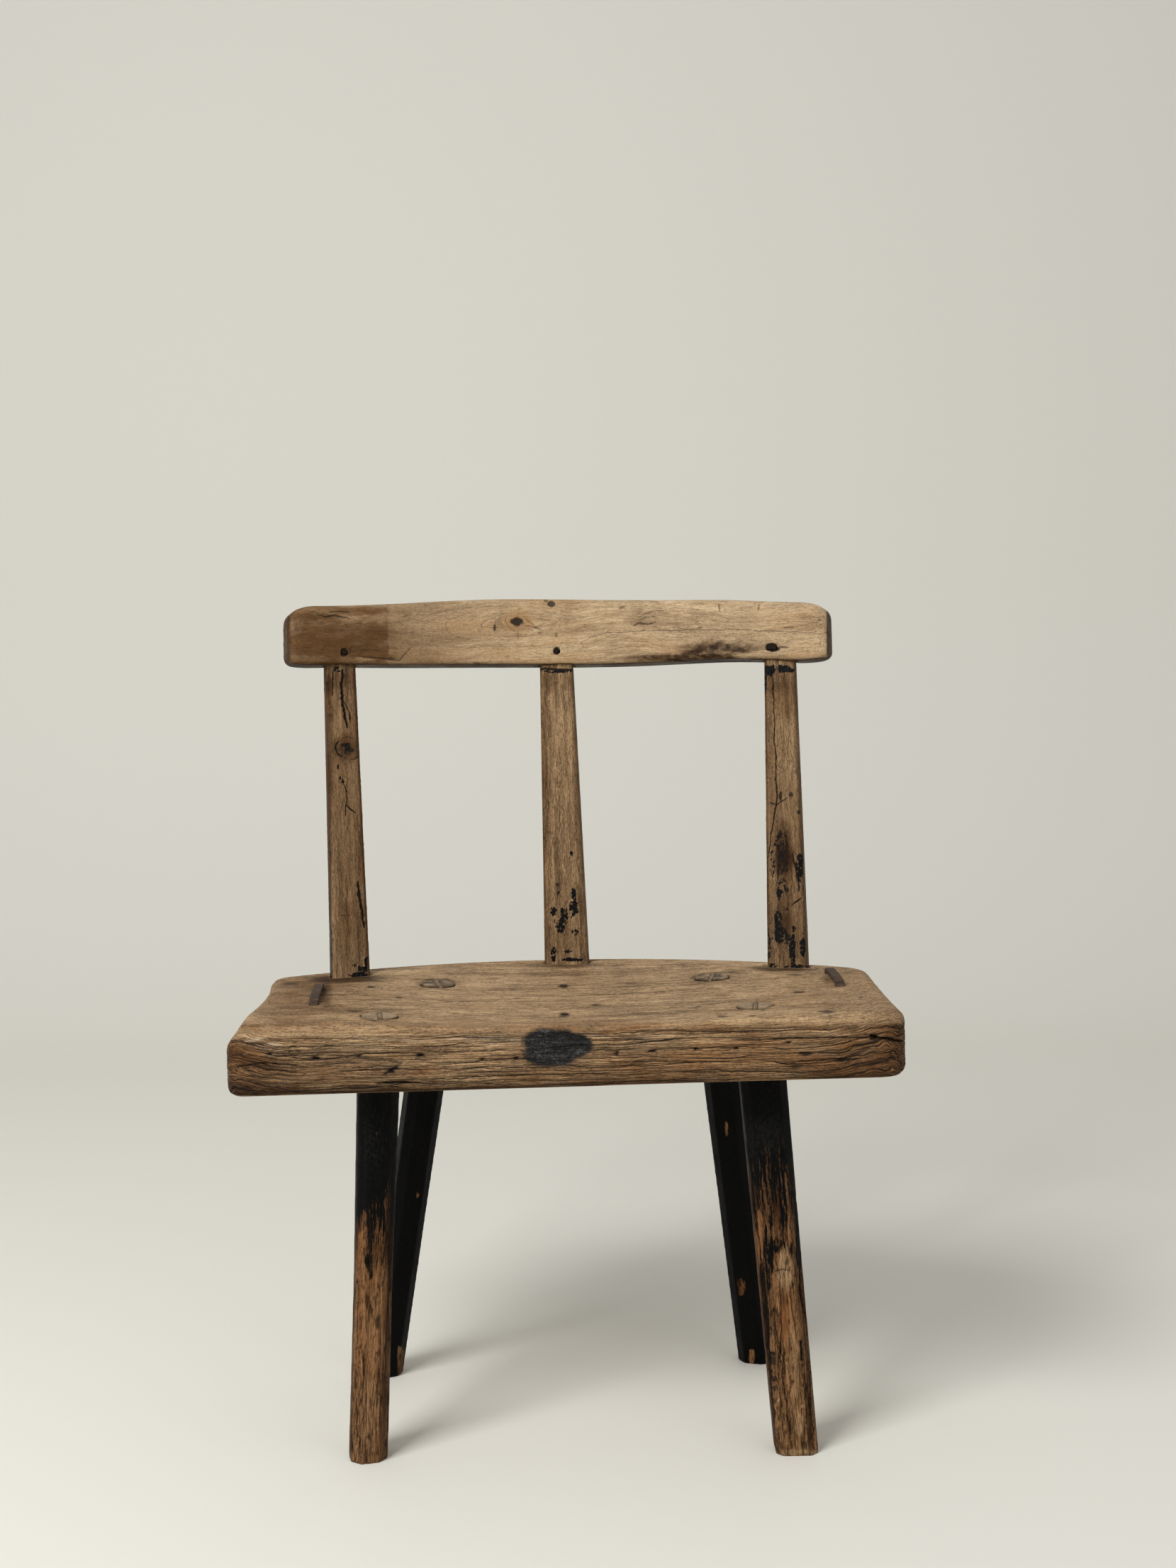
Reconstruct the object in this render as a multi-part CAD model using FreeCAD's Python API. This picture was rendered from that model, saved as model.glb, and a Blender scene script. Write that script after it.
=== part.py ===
import FreeCAD, Part
import math
import os
from FreeCAD import Placement, Rotation, Vector

# Rustic stick back chair: a thick dished plank on four splayed legs,
# three flat back slats and a bowed crest rail. Millimetres, +Z up,
# the front faces -Y. The origin lies under the middle of the chair.

# Seat plank
seat_width = 590.5
seat_depth = 345.0
seat_height = 402.0
seat_thickness = 60.0
seat_taper = 6.0
seat_back_bow = 86.0
seat_left_hollow = 10.0
seat_right_hollow = 2.0
seat_left_flare = 2.2
seat_right_cut = 12.0
seat_front_left_corner = 18.0
seat_front_right_corner = 24.0
seat_back_left_corner = 24.0
seat_back_right_corner = 40.0
seat_top_edge = 11.0
seat_bottom_edge = 8.0
dish_depth = 8.0
dish_radius = 220.0
dish_setback = 118.0

# Nail holes along the front edge of the plank
nail_hole_diameter = 3.0
nail_hole_depth = 9.0
nail_hole_x_shares = (-0.213, -0.122, -0.074, 0.071, 0.127, 0.187, 0.248, 0.321)
nail_hole_z_shares = (0.53, 0.46, 0.46, 0.50, 0.52, 0.54, 0.55, 0.61)

# Legs, with round tenons through the plank and a wedge in each
leg_width = 38.0
leg_foot_width = 35.0
leg_tenon_diameter = 34.0
leg_tenon_end_diameter = 32.0
leg_tenon_root = 12.0
leg_tenon_proud = 0.6
leg_clearance = 0.2
wedge_depth = 34.0
wedge_thickness = 5.0
wedge_tip = 1.2

# Back slats, with a tenon at each end
slat_width_foot = 42.0
slat_width_head = 34.0
slat_thickness = 20.0
slat_corner = 3.0
slat_foot_housing = 5.0
slat_head_housing = 10.0
slat_foot_tenon = 38.0
slat_head_tenon = 34.0
slat_shoulder = 2.0
slat_inset = 6.0
slat_clearance = 0.25

# Crest rail
crest_length = 535.0
crest_height = 70.5
crest_thickness = 32.0
crest_bow = 49.0
crest_set_in = 8.0
crest_foot_height = 703.0
crest_edge_radius = 6.0
crest_rake = 8.0
crest_offset_share = -0.0069

# Pegs through the crest rail into the slats
peg_diameter = 6.0
peg_length = 27.0
peg_proud = 0.5
peg_clearance = 0.15
square_peg_width = 11.0
square_peg_height = 6.0

# Iron staples across the ends of the plank
staple_length = 90.0
staple_width = 9.0
staple_thickness = 4.0
staple_rise = 6.0
staple_prong = 28.0
staple_clearance = 0.2

# Square nails in the middle of the plank
nail_width = 7.0
nail_tip = 1.5
nail_length = 42.0
nail_proud = 0.5
nail_clearance = 0.2

# Overrun of every cut past the face that it opens through, and how closely
# the crest rail's cuts follow its curved faces
overrun = 10.0
cut_tolerance = 0.001

# Each leg: middle of the tenon on the seat and middle of the sole, as shares
# of the seat's width and depth, then its thickness against the named width,
# the waist against the sole, the share cut off each corner, and its turn.
leg_place_shares = {
    "front_left": (-0.2776, 0.155, -0.3145, 0.160, 0.98, 0.99, 0.27, 12.0),
    "front_right": (0.2848, 0.195, 0.3346, 0.160, 1.10, 1.03, 0.19, 0.0),
    "rear_left": (-0.2110, 0.635, -0.3262, 0.752, 0.97, 1.02, 0.25, 20.0),
    "rear_right": (0.2360, 0.6435, 0.3096, 0.804, 1.00, 1.03, 0.24, -16.0),
}
wedge_turns = {
    "front_left": 8.0,
    "front_right": -6.0,
    "rear_left": 14.0,
    "rear_right": -11.0,
}

# Each slat: middle of its front face at the seat, as shares of the seat's
# width and depth, its place along half of the crest, its widths against the
# named ones and its turn.
slat_place_shares = {
    "left": (-0.3612, 0.736, -0.8094, 0.91, 0.91, 17.0),
    "centre": (-0.0038, 0.910, -0.0108, 1.08, 1.00, -4.0),
    "right": (0.3665, 0.742, 0.8237, 0.96, 0.92, -13.0),
}

# Each peg: off the middle of its slat as a share of the slat's width at its
# head, and up the height of the crest.
peg_place_shares = {
    "left": (0.242, 0.204),
    "centre": (0.030, 0.226),
    "right": (-0.324, 0.150),
}

# Crest stations: how far along half of the crest, bottom and top as shares
# of its height, and the share of its thickness.
crest_station_shares = (
    (-1.000, 0.110, 0.635, 0.60),
    (-0.985, 0.030, 0.750, 0.84),
    (-0.955, 0.008, 0.825, 0.97),
    (-0.880, 0.012, 0.870, 1.00),
    (-0.600, 0.028, 0.930, 1.00),
    (-0.200, 0.032, 1.000, 1.00),
    (0.000, 0.018, 0.985, 1.00),
    (0.400, 0.010, 0.925, 1.00),
    (0.680, 0.000, 0.865, 1.00),
    (0.880, -0.062, 0.785, 1.00),
    (0.955, -0.065, 0.735, 0.97),
    (0.985, -0.040, 0.670, 0.84),
    (1.000, 0.030, 0.560, 0.60),
)

# Each staple: its middle as shares of the seat's width and depth, its length
# against the named one and its turn.
staple_place_shares = {
    "left": (-0.3936, 0.4168, 1.02, 4.2),
    "right": (0.4287, 0.5197, 0.90, 0.2),
}

# Side outline of a staple: shares of its half length, then shares of its rise
# above the seat or of its prong below it.
staple_crown_shares = (
    (1.00, 0.15),
    (0.97, 0.62),
    (0.86, 0.90),
    (0.50, 1.00),
    (-0.45, 0.97),
    (-0.80, 0.80),
    (-0.95, 0.45),
    (-1.00, 0.00),
)

# Each square nail: its middle as shares of the seat's width and depth.
nail_place_shares = {
    "front": (-0.0025, 0.200),
    "rear": (-0.0068, 0.617),
}

underside = seat_height - seat_thickness
dish_ball_radius = (dish_radius**2 + dish_depth**2) / (2 * dish_depth)
crest_setback = seat_depth - crest_set_in
crest_half = crest_length / 2
crest_radius = (crest_half**2 + crest_bow**2) / (2 * crest_bow)
crest_sweep = math.asin(crest_half / crest_radius)
up = Vector(0, 0, 1)
pieces = {}


def seat_point(x_share, y_share, height):
    """A point given by shares of the seat's width and depth."""
    return Vector(x_share * seat_width, y_share * seat_depth, height)


def between(low, high, height):
    """The point at a height on the line through two points."""
    share = (height - low.z) / (high.z - low.z)
    return low + (high - low) * share


def turned_wire(points, turn, middle):
    """A closed flat wire, turned about Z and moved to its middle."""
    spin = Rotation(up, turn)
    placed = [middle + spin.multVec(point) for point in points]
    return Part.makePolygon(placed + placed[:1])


def block_wire(middle, width, depth, corner, turn):
    """A level rectangle with its four corners cut off."""
    x = width / 2
    y = depth / 2
    points = (
        (x - corner, -y),
        (x, -y + corner),
        (x, y - corner),
        (x - corner, y),
        (-x + corner, y),
        (-x, y - corner),
        (-x, -y + corner),
        (-x + corner, -y),
    )
    return turned_wire([Vector(*point, 0) for point in points], turn, middle)


def loft(wires, ruled=True):
    """A solid through closed wires."""
    return Part.makeLoft(wires, True, ruled)


def cone_between(low, high, low_radius, high_radius):
    """A round taper from one point to another."""
    run = high - low
    return Part.makeCone(low_radius, high_radius, run.Length, low, run)


def dish_ball(lift):
    """The large ball that hollows the top of the seat."""
    height = seat_height - dish_depth + dish_ball_radius + lift
    return Part.makeSphere(dish_ball_radius, Vector(0, dish_setback, height))


def trim_to_seat(shape, lift):
    """Cuts a piece off along the seat's top, a little above it."""
    corner = Vector(-seat_width, -seat_depth, seat_height + lift)
    slab = Part.makeBox(2 * seat_width, 3 * seat_depth, seat_thickness, corner)
    return shape.cut(slab).cut(dish_ball(lift))


def above_underside():
    """The space above the plank's underside, which rises to the right."""
    rise = math.degrees(math.atan(seat_taper / seat_width))
    corner = Vector(-seat_width, -seat_depth, 0)
    slab = Part.makeBox(2 * seat_width, 3 * seat_depth, 2 * seat_thickness, corner)
    slab.Placement = Placement(Vector(0, 0, underside), Rotation(Vector(0, -1, 0), rise))
    return slab


def seat_wire(height):
    """Plan of the plank, hollow at the sides, bowed and askew at the back."""
    half = seat_width / 2
    side = seat_depth - seat_back_bow
    front_left = Vector(-half - seat_left_flare, 0, height)
    front_right = Vector(half, 0, height)
    back_right = Vector(half, side - seat_right_cut, height)
    back_left = Vector(-half, side, height)
    right_middle = Vector(half - seat_right_hollow, back_right.y / 2, height)
    left_middle = Vector(-half + seat_left_hollow, side / 2, height)
    back_middle = Vector(0, seat_depth, height)
    return Part.Wire(
        [
            Part.makeLine(front_left, front_right),
            Part.Arc(front_right, right_middle, back_right).toShape(),
            Part.Arc(back_right, back_middle, back_left).toShape(),
            Part.Arc(back_left, left_middle, front_left).toShape(),
        ]
    )


def corner_edge(shape, right, behind):
    """The upright edge at one corner of the plank."""
    found = []
    for edge in shape.Edges:
        first, last = edge.Vertexes[0].Point, edge.Vertexes[-1].Point
        upright = abs(first.z - last.z) > seat_thickness / 2
        if upright and (first.x > 0) == right and (first.y > seat_depth / 2) == behind:
            found.append(edge)
    return found


def rim_edges(shape, above):
    """The edges round the top or the underside of the plank."""
    middle = seat_height - seat_thickness / 2
    if above:
        return [edge for edge in shape.Edges if edge.BoundBox.ZMin > middle]
    return [edge for edge in shape.Edges if edge.BoundBox.ZMax < middle]


def plank_blank():
    """The plank with rounded corners and edges and its dished top."""
    blank = Part.Face(seat_wire(seat_height)).extrude(up * -(seat_thickness + seat_taper))
    blank = blank.common(above_underside())
    blank = blank.makeFillet(seat_front_left_corner, corner_edge(blank, False, False))
    blank = blank.makeFillet(seat_front_right_corner, corner_edge(blank, True, False))
    blank = blank.makeFillet(seat_back_left_corner, corner_edge(blank, False, True))
    blank = blank.makeFillet(seat_back_right_corner, corner_edge(blank, True, True))
    blank = blank.makeFillet(seat_top_edge, rim_edges(blank, True))
    blank = blank.makeFillet(seat_bottom_edge, rim_edges(blank, False))
    return blank.cut(dish_ball(0))


def nail_holes():
    """Small holes left by nails along the front edge."""
    holes = []
    for x_share, z_share in zip(nail_hole_x_shares, nail_hole_z_shares):
        height = underside + z_share * seat_thickness
        start = seat_point(x_share, 0, height) - Vector(0, overrun, 0)
        depth = nail_hole_depth + overrun
        radius = nail_hole_diameter / 2
        holes.append(Part.makeCylinder(radius, depth, start, Vector(0, 1, 0)))
    return holes


def leg_ends(name):
    """Middle of a leg's sole, and of its tenon at the seat's height."""
    top_x, top_y, foot_x, foot_y = leg_place_shares[name][:4]
    sole = seat_point(foot_x, foot_y, 0)
    return sole, seat_point(top_x, top_y, seat_height)


def leg_tenon(name, grow):
    """The round tapered tenon, from inside the leg to above the seat."""
    sole, top = leg_ends(name)
    low = between(sole, top, underside - leg_tenon_root)
    high = between(sole, top, seat_height + overrun)
    low_radius = leg_tenon_diameter / 2 + grow
    high_radius = leg_tenon_end_diameter / 2 + grow
    return cone_between(low, high, low_radius, high_radius)


def leg_body(name):
    """The hewn leg with eight faces, a little waisted above its sole."""
    sole, top = leg_ends(name)
    thickness, waist, corner, turn = leg_place_shares[name][4:]
    foot_width = leg_foot_width * thickness
    stations = (
        (0, foot_width),
        (underside / 2, foot_width * waist),
        (underside + seat_taper, leg_width * thickness),
    )
    wires = []
    for height, width in stations:
        middle = between(sole, top, height)
        wires.append(block_wire(middle, width, width, corner * width, turn))
    return loft(wires).cut(above_underside())


def wedge_prism(name):
    """The thin taper that splits a tenon's end, across the plank's grain."""
    sole, top = leg_ends(name)
    wires = []
    stations = (
        (seat_height - wedge_depth, wedge_tip),
        (seat_height + overrun, wedge_thickness),
    )
    for height, thickness in stations:
        middle = between(sole, top, height)
        turn = wedge_turns[name]
        length = leg_tenon_diameter + overrun
        wires.append(block_wire(middle, thickness, length, thickness / 9, turn))
    return loft(wires)


def make_leg(name):
    """One leg and its wedge."""
    tenon = trim_to_seat(leg_tenon(name, 0), leg_tenon_proud)
    prism = wedge_prism(name)
    pieces[name + "_leg"] = leg_body(name).fuse(tenon).cut(prism)
    pieces[name + "_leg_wedge"] = prism.common(tenon)


def slat_ends(name):
    """Middle of a slat at the seat's height, and at the crest's foot."""
    foot_x, foot_y, along = slat_place_shares[name][:3]
    turn = slat_place_shares[name][5]
    back = Rotation(up, turn).multVec(Vector(0, slat_thickness / 2, 0))
    foot = seat_point(foot_x, foot_y, seat_height)
    head = crest_place().Base + crest_point(crest_angle(along), slat_inset, 0)
    return foot + back, head + back


def slat_solid(name, grow):
    """A back slat with its two tenons, or the space that it needs."""
    foot, head = slat_ends(name)
    low_share, high_share, turn = slat_place_shares[name][3:]
    foot_width = slat_width_foot * low_share
    head_width = slat_width_head * high_share
    body_low = seat_height - slat_foot_housing
    body_high = crest_foot_height + slat_head_housing

    def width_at(height):
        share = (height - foot.z) / (head.z - foot.z)
        return foot_width + (head_width - foot_width) * share

    def bar(low, high, shoulder):
        wires = []
        for height in (low, high):
            width = width_at(height) - 2 * shoulder + 2 * grow
            depth = slat_thickness - 2 * shoulder + 2 * grow
            middle = between(foot, head, height)
            wires.append(block_wire(middle, width, depth, slat_corner, turn))
        return loft(wires)

    body = bar(body_low - grow, body_high + grow, 0)
    low_end = body_low - slat_foot_tenon - grow
    high_end = body_high + slat_head_tenon + grow
    tenon = bar(low_end, high_end, slat_shoulder)
    return body.fuse(tenon).removeSplitter()


def crest_angle(along):
    """The angle of a place given along half of the crest rail."""
    return math.asin(along * math.sin(crest_sweep))


def crest_place():
    """Where the crest rail sits, leaning back."""
    base = Vector(crest_offset_share * seat_width, crest_setback, crest_foot_height)
    return Placement(base, Rotation(Vector(1, 0, 0), -crest_rake))


def crest_point(angle, out, height):
    """A point of the crest rail, out from its front face."""
    reach = crest_radius + out
    return Vector(reach * math.sin(angle), reach * math.cos(angle) - crest_radius, height)


def crest_wire(along, bottom_share, top_share, thick_share):
    """Rounded cross section of the crest rail at one station."""
    angle = crest_angle(along)
    inset = crest_thickness * (1 - thick_share) / 2
    near = inset
    far = crest_thickness - inset
    low = bottom_share * crest_height
    high = top_share * crest_height
    round_off = crest_edge_radius * thick_share
    bite = round_off * (1 - math.sqrt(2) / 2)
    edges = []
    corners = (
        (near, low, 1, 1),
        (far, low, -1, 1),
        (far, high, -1, -1),
        (near, high, 1, -1),
    )
    ends = []
    for index, (out, height, to_out, to_up) in enumerate(corners):
        side_out = out + to_out * round_off
        side_up = height + to_up * round_off
        by_height = crest_point(angle, out, side_up)
        by_depth = crest_point(angle, side_out, height)
        middle = crest_point(angle, out + to_out * bite, height + to_up * bite)
        first, last = (by_height, by_depth) if index % 2 == 0 else (by_depth, by_height)
        ends.append((first, middle, last))
    for index, (first, middle, last) in enumerate(ends):
        edges.append(Part.Arc(first, middle, last).toShape())
        following = ends[(index + 1) % len(ends)][0]
        edges.append(Part.makeLine(last, following))
    return Part.Wire(edges)


def crest_blank():
    """The bowed crest rail before its mortises are cut."""
    rail = loft([crest_wire(*station) for station in crest_station_shares], False)
    rail.Placement = crest_place()
    return rail


def peg_solid(name, grow):
    """A peg through the crest rail, or the hole that it needs."""
    off_share, up_share = peg_place_shares[name]
    height = up_share * crest_height
    foot, head = slat_ends(name)
    slat_middle = between(foot, head, crest_foot_height + height)
    head_width = slat_width_head * slat_place_shares[name][4]
    reach = slat_middle.x + off_share * head_width - crest_place().Base.x
    angle = math.asin(reach / crest_radius)
    start = crest_point(angle, -peg_proud - grow, height)
    end = crest_point(angle, peg_length + grow, height)
    run = end - start
    if name == "right":
        wide = square_peg_width / 2 + grow
        high = square_peg_height / 2 + grow
        across = run.cross(up).normalize()
        corners = [
            start + across * wide + up * high,
            start - across * wide + up * high,
            start - across * wide - up * high,
            start + across * wide - up * high,
        ]
        section = Part.Face(Part.makePolygon(corners + corners[:1]))
        peg = section.extrude(run)
    else:
        peg = Part.makeCylinder(peg_diameter / 2 + grow, run.Length, start, run)
    peg.Placement = crest_place().multiply(peg.Placement)
    return peg


def staple_solid(name, grow):
    """A flat iron staple with two pointed prongs, or the slots for it."""
    x_share, y_share, length_share, turn = staple_place_shares[name]
    half = staple_length * length_share / 2
    inner = staple_thickness / half
    outer = [
        Vector(0, along * (half + grow), rise * staple_rise)
        for along, rise in staple_crown_shares
    ]
    lining = [
        Vector(0, along * (1 - inner) * half, rise * staple_rise - staple_thickness)
        for along, rise in reversed(staple_crown_shares)
    ]
    tip = -staple_prong - grow
    points = [Vector(0, half - staple_thickness / 2, tip)] + outer
    points += [Vector(0, -half + staple_thickness / 2, tip)] + lining
    side = Part.Face(Part.makePolygon(points + points[:1]))
    width = staple_width + 2 * grow
    bar = side.extrude(Vector(width, 0, 0))
    bar.translate(Vector(-width / 2, 0, 0))
    bar.Placement = Placement(
        seat_point(x_share, y_share, seat_height), Rotation(up, turn)
    ).multiply(bar.Placement)
    return bar


def nail_solid(name, grow):
    """A square tapered nail, set cornerwise, or the hole that it needs."""
    x_share, y_share = nail_place_shares[name]
    wires = []
    stations = (
        (seat_height - dish_depth - nail_length - grow, nail_tip),
        (seat_height + overrun, nail_width),
    )
    for height, width in stations:
        middle = seat_point(x_share, y_share, height)
        size = width + 2 * grow
        wires.append(block_wire(middle, size, size, size / 9, 45))
    return loft(wires)


def make_pieces():
    """Every piece of the chair, in the frame of the seat's front edge."""
    for name in leg_place_shares:
        make_leg(name)
    for name in nail_place_shares:
        nail = trim_to_seat(nail_solid(name, 0), nail_proud)
        pieces[name + "_seat_nail"] = nail
    for name in staple_place_shares:
        pieces[name + "_seat_staple"] = staple_solid(name, 0)
    slat_spaces = [slat_solid(name, slat_clearance) for name in slat_place_shares]
    for name in slat_place_shares:
        hole = peg_solid(name, peg_clearance)
        pieces[name + "_back_slat"] = slat_solid(name, 0).cut(hole, cut_tolerance)
        pieces[name + "_crest_peg"] = peg_solid(name, 0)
    plank_cuts = nail_holes() + slat_spaces
    plank_cuts += [leg_tenon(name, leg_clearance) for name in leg_place_shares]
    plank_cuts += [nail_solid(name, nail_clearance) for name in nail_place_shares]
    plank_cuts += [staple_solid(name, staple_clearance) for name in staple_place_shares]
    pieces["seat_plank"] = plank_blank().cut(plank_cuts)
    crest_cuts = slat_spaces + [peg_solid(name, peg_clearance) for name in slat_place_shares]
    pieces["crest_rail"] = crest_blank().cut(crest_cuts, cut_tolerance)


def save_pieces():
    """Moves the origin under the middle of the chair and writes each piece."""
    box = FreeCAD.BoundBox()
    for shape in pieces.values():
        box.add(shape.optimalBoundingBox(False, False))
    shift = Vector(-box.Center.x, -box.Center.y, -box.ZMin)
    os.makedirs("parts", exist_ok=True)
    for name, shape in pieces.items():
        moved = shape.copy()
        moved.translate(shift)
        moved.exportStep("parts/" + name + ".step")
        solids = len(moved.Solids)
        print(name, "solids", solids, "valid", moved.isValid(), "volume", round(moved.Volume))
    print("shift", shift, "size", box.XLength, box.YLength, box.ZLength)


make_pieces()
save_pieces()
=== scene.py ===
import itertools
import math

import bmesh
import bpy
import numpy as np
from mathutils import Matrix, Vector


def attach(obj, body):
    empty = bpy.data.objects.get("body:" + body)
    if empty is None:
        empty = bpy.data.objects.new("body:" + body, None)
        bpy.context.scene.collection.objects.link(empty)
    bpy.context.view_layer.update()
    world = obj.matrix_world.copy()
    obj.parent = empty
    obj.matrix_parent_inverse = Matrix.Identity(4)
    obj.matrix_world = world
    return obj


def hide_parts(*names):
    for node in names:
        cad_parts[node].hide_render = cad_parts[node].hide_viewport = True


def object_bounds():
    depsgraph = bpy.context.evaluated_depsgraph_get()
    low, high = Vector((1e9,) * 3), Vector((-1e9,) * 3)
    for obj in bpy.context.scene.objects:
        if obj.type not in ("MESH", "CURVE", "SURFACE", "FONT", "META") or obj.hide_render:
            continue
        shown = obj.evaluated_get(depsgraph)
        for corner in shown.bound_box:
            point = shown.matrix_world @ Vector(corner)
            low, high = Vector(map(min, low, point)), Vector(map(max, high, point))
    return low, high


# The weathered plank chair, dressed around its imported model. Tables and
# arrays are in millimetres, in the model's own frame, and Blender's objects
# in metres. A mark on the wood is placed by its pixel in the photograph.

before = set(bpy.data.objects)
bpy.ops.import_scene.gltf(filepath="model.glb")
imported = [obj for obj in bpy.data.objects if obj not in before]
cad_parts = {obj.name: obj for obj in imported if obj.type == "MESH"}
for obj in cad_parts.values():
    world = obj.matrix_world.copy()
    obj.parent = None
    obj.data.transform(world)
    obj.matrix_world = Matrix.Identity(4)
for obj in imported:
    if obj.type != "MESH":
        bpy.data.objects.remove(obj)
cad_box = [list(corner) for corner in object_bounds()]

MM = 0.001

# The photograph's camera, in millimetres, pixels and radians
PHOTO_SIZE = (1659, 2212)
FOCAL_PIXELS = 2700.0
CAMERA_PLACE = np.array([23.284, -1806.79, 708.0])
CAMERA_PITCH = 0.06454
CAMERA_ROLL = 0.0205


# Noise and masks on arrays of points


def smooth(value, low, high):
    """0 up to low, 1 from high on, and eased between them."""
    share = np.clip((value - low) / (high - low), 0, 1)
    return share * share * (3 - 2 * share)


def hashed(cell, seed):
    """A repeatable number from 0 to 1 for each cell of a lattice."""
    mixed = cell @ np.array([73856093, 19349663, 83492791]) + seed * 9176741
    mixed = mixed.astype(np.uint64)
    for shift, factor in ((15, 0x2C1B3C6D), (12, 0x297A2D39), (15, 1)):
        mixed ^= mixed >> np.uint64(shift)
        mixed *= np.uint64(factor)
    return (mixed & np.uint64(0xFFFFFF)) / 0xFFFFFF


def noise(points, seed):
    """Smooth noise from -1 to 1, one wave per unit."""
    base = np.floor(points).astype(np.int64)
    share = points - base
    share = share * share * (3 - 2 * share)
    total = np.zeros(len(points))
    for corner in itertools.product((0, 1), repeat=3):
        weight = np.prod(np.where(corner, share, 1 - share), axis=1)
        total += weight * hashed(base + corner, seed)
    return total * 2 - 1


def layered(points, seed, layers=3):
    """Noise with finer and weaker layers on it."""
    total, weight = 0, 0
    for layer in range(layers):
        total = total + noise(points * 2**layer, seed + layer) / 2**layer
        weight += 1 / 2**layer
    return total / weight


def walls(points, seed):
    """How near each point is to a wall between scattered cells: 0 is on it."""
    base = np.floor(points).astype(np.int64)
    nearest = np.full(len(points), 9.0)
    second = nearest.copy()
    for step in itertools.product((-1, 0, 1), repeat=3):
        cell = base + step
        seeds = np.stack([hashed(cell, seed + axis) for axis in range(3)], axis=1)
        distance = np.linalg.norm(cell + seeds - points, axis=1)
        second = np.minimum(second, np.maximum(nearest, distance))
        nearest = np.minimum(nearest, distance)
    return second - nearest


def splits(points, seed, width, layers=3):
    """Long wandering cracks, where layered noise passes through nothing."""
    return smooth(width - np.abs(layered(points, seed, layers)), 0, np.maximum(width, 0.01))


# Marks that the photograph shows, as rows of numbers. A crack is its half
# width, depth and darkness, then its first place and the steps from there.
# Every other mark begins with its middle, half width and half height. A hole
# adds depth and darkness, a stain or a patch of painted shade adds how brown
# and how sooty it is, and a patch of paint, bare, pale or warm wood, or of
# painted sheen and shade, adds its strength. Depths are in millimetres, the
# rest in photo pixels.

STAIN_EDGE = {"border": 1.5, "fade": 1.1}
HOLE_MARGIN = 3


def photo_pixels(points):
    """Where points fall in the photograph."""
    x, y, z = (points - CAMERA_PLACE).T
    ahead = y * math.cos(CAMERA_PITCH) - z * math.sin(CAMERA_PITCH)
    above = y * math.sin(CAMERA_PITCH) + z * math.cos(CAMERA_PITCH)
    across, above = x / ahead, above / ahead
    turn, lift = math.cos(CAMERA_ROLL), math.sin(CAMERA_ROLL)
    right = across * turn - above * lift
    down = -across * lift - above * turn
    middle = np.array(PHOTO_SIZE) / 2
    return middle + FOCAL_PIXELS * np.stack([right, down], axis=1)


def seen(points, normals):
    """1 where a surface faces the photograph's camera, 0 where it doesn't."""
    view = CAMERA_PLACE - points
    view /= np.linalg.norm(view, axis=1, keepdims=True)
    return smooth((view * normals).sum(axis=1), 0.02, 0.14)


def spot(pixels, place, ragged, border=1.2, fade=0.35):
    """An oval mark, which ends at its border and fades inside it."""
    u, v, half_u, half_v = place
    reach = np.hypot((pixels[:, 0] - u) / half_u, (pixels[:, 1] - v) / half_v)
    return smooth(border - reach + ragged, 0.0, fade)


def patches(pixels, places, ragged, **edge):
    """The strongest of several patches at each point."""
    strongest = np.zeros(len(pixels))
    for *place, strength in places:
        strongest = np.maximum(strongest, strength * spot(pixels, place, ragged, **edge))
    return strongest


def line(pixels, path, width):
    """A crack along a path of steps, thinner towards its ends."""
    path = np.cumsum(np.reshape(path, (-1, 2)), axis=0, dtype=float)
    lengths = np.linalg.norm(np.diff(path, axis=0), axis=1)
    before = 0.0
    mask = np.zeros(len(pixels))
    for start, end, length in zip(path[:-1], path[1:], lengths):
        run = end - start
        share = np.clip((pixels - start) @ run / length**2, 0, 1)
        distance = np.linalg.norm(pixels - start - share[:, None] * run, axis=1)
        along = (before + share * length) / lengths.sum()
        reach = width * (0.4 + 0.6 * np.sqrt(np.sin(math.pi * np.clip(along, 0, 1))))
        mask = np.maximum(mask, np.clip(1.25 - distance / reach, 0, 1))
        before += length
    return mask


def wobble(points):
    """A small hand-drawn waver, in pixels."""
    coarse = np.stack([noise(points / 8, 51), noise(points / 8, 52)], axis=1)
    fine = np.stack([noise(points / 2.5, 53), noise(points / 2.5, 54)], axis=1)
    return coarse * (1.6, 1.1) + fine * 0.7


def drawn(points, shown, cracks, holes):
    """The depth and the darkness of cracks and holes placed in the photograph."""
    pixels = photo_pixels(points)
    wavering = pixels + wobble(points)
    ragged = layered(points / 2.6, 61, 2)
    depth = np.zeros(len(points))
    dark = np.zeros(len(points))
    for width, cut, strength, *path in cracks:
        mask = line(wavering, path, width * 1.4) * (1 + 0.5 * ragged)
        mask = smooth(mask, 0.3, 0.75) * shown
        depth += cut * mask
        dark = np.maximum(dark, strength * mask)
    for *place, cut, strength in holes:
        mask = spot(pixels, place, 0.28 * ragged) * shown
        depth += cut * mask
        dark = np.maximum(dark, strength * mask)
    return depth, dark


def stained_and_shaded(points, shown, places, sizes):
    """How brown and how sooty soft-edged stains, and patches of painted shade, make each point."""
    pixels = photo_pixels(points)
    uneven = 0.55 * layered(points / sizes, 75, 3)
    brown = np.zeros(len(points))
    soot_and_shade = np.zeros(len(points))
    for *place, more_brown, more_soot in places:
        mask = spot(pixels, place, uneven, **STAIN_EDGE)
        brown += more_brown * mask
        soot_and_shade += more_soot * mask
    return brown * shown, soot_and_shade * shown


# Meshes


def add_object(name, data):
    made = bpy.data.objects.new(name, data)
    bpy.context.scene.collection.objects.link(made)
    return made


def vectors(items, name):
    """One vector for each of a mesh's items."""
    values = np.empty(len(items) * 3)
    items.foreach_get(name, values)
    return values.reshape(-1, 3)


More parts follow.
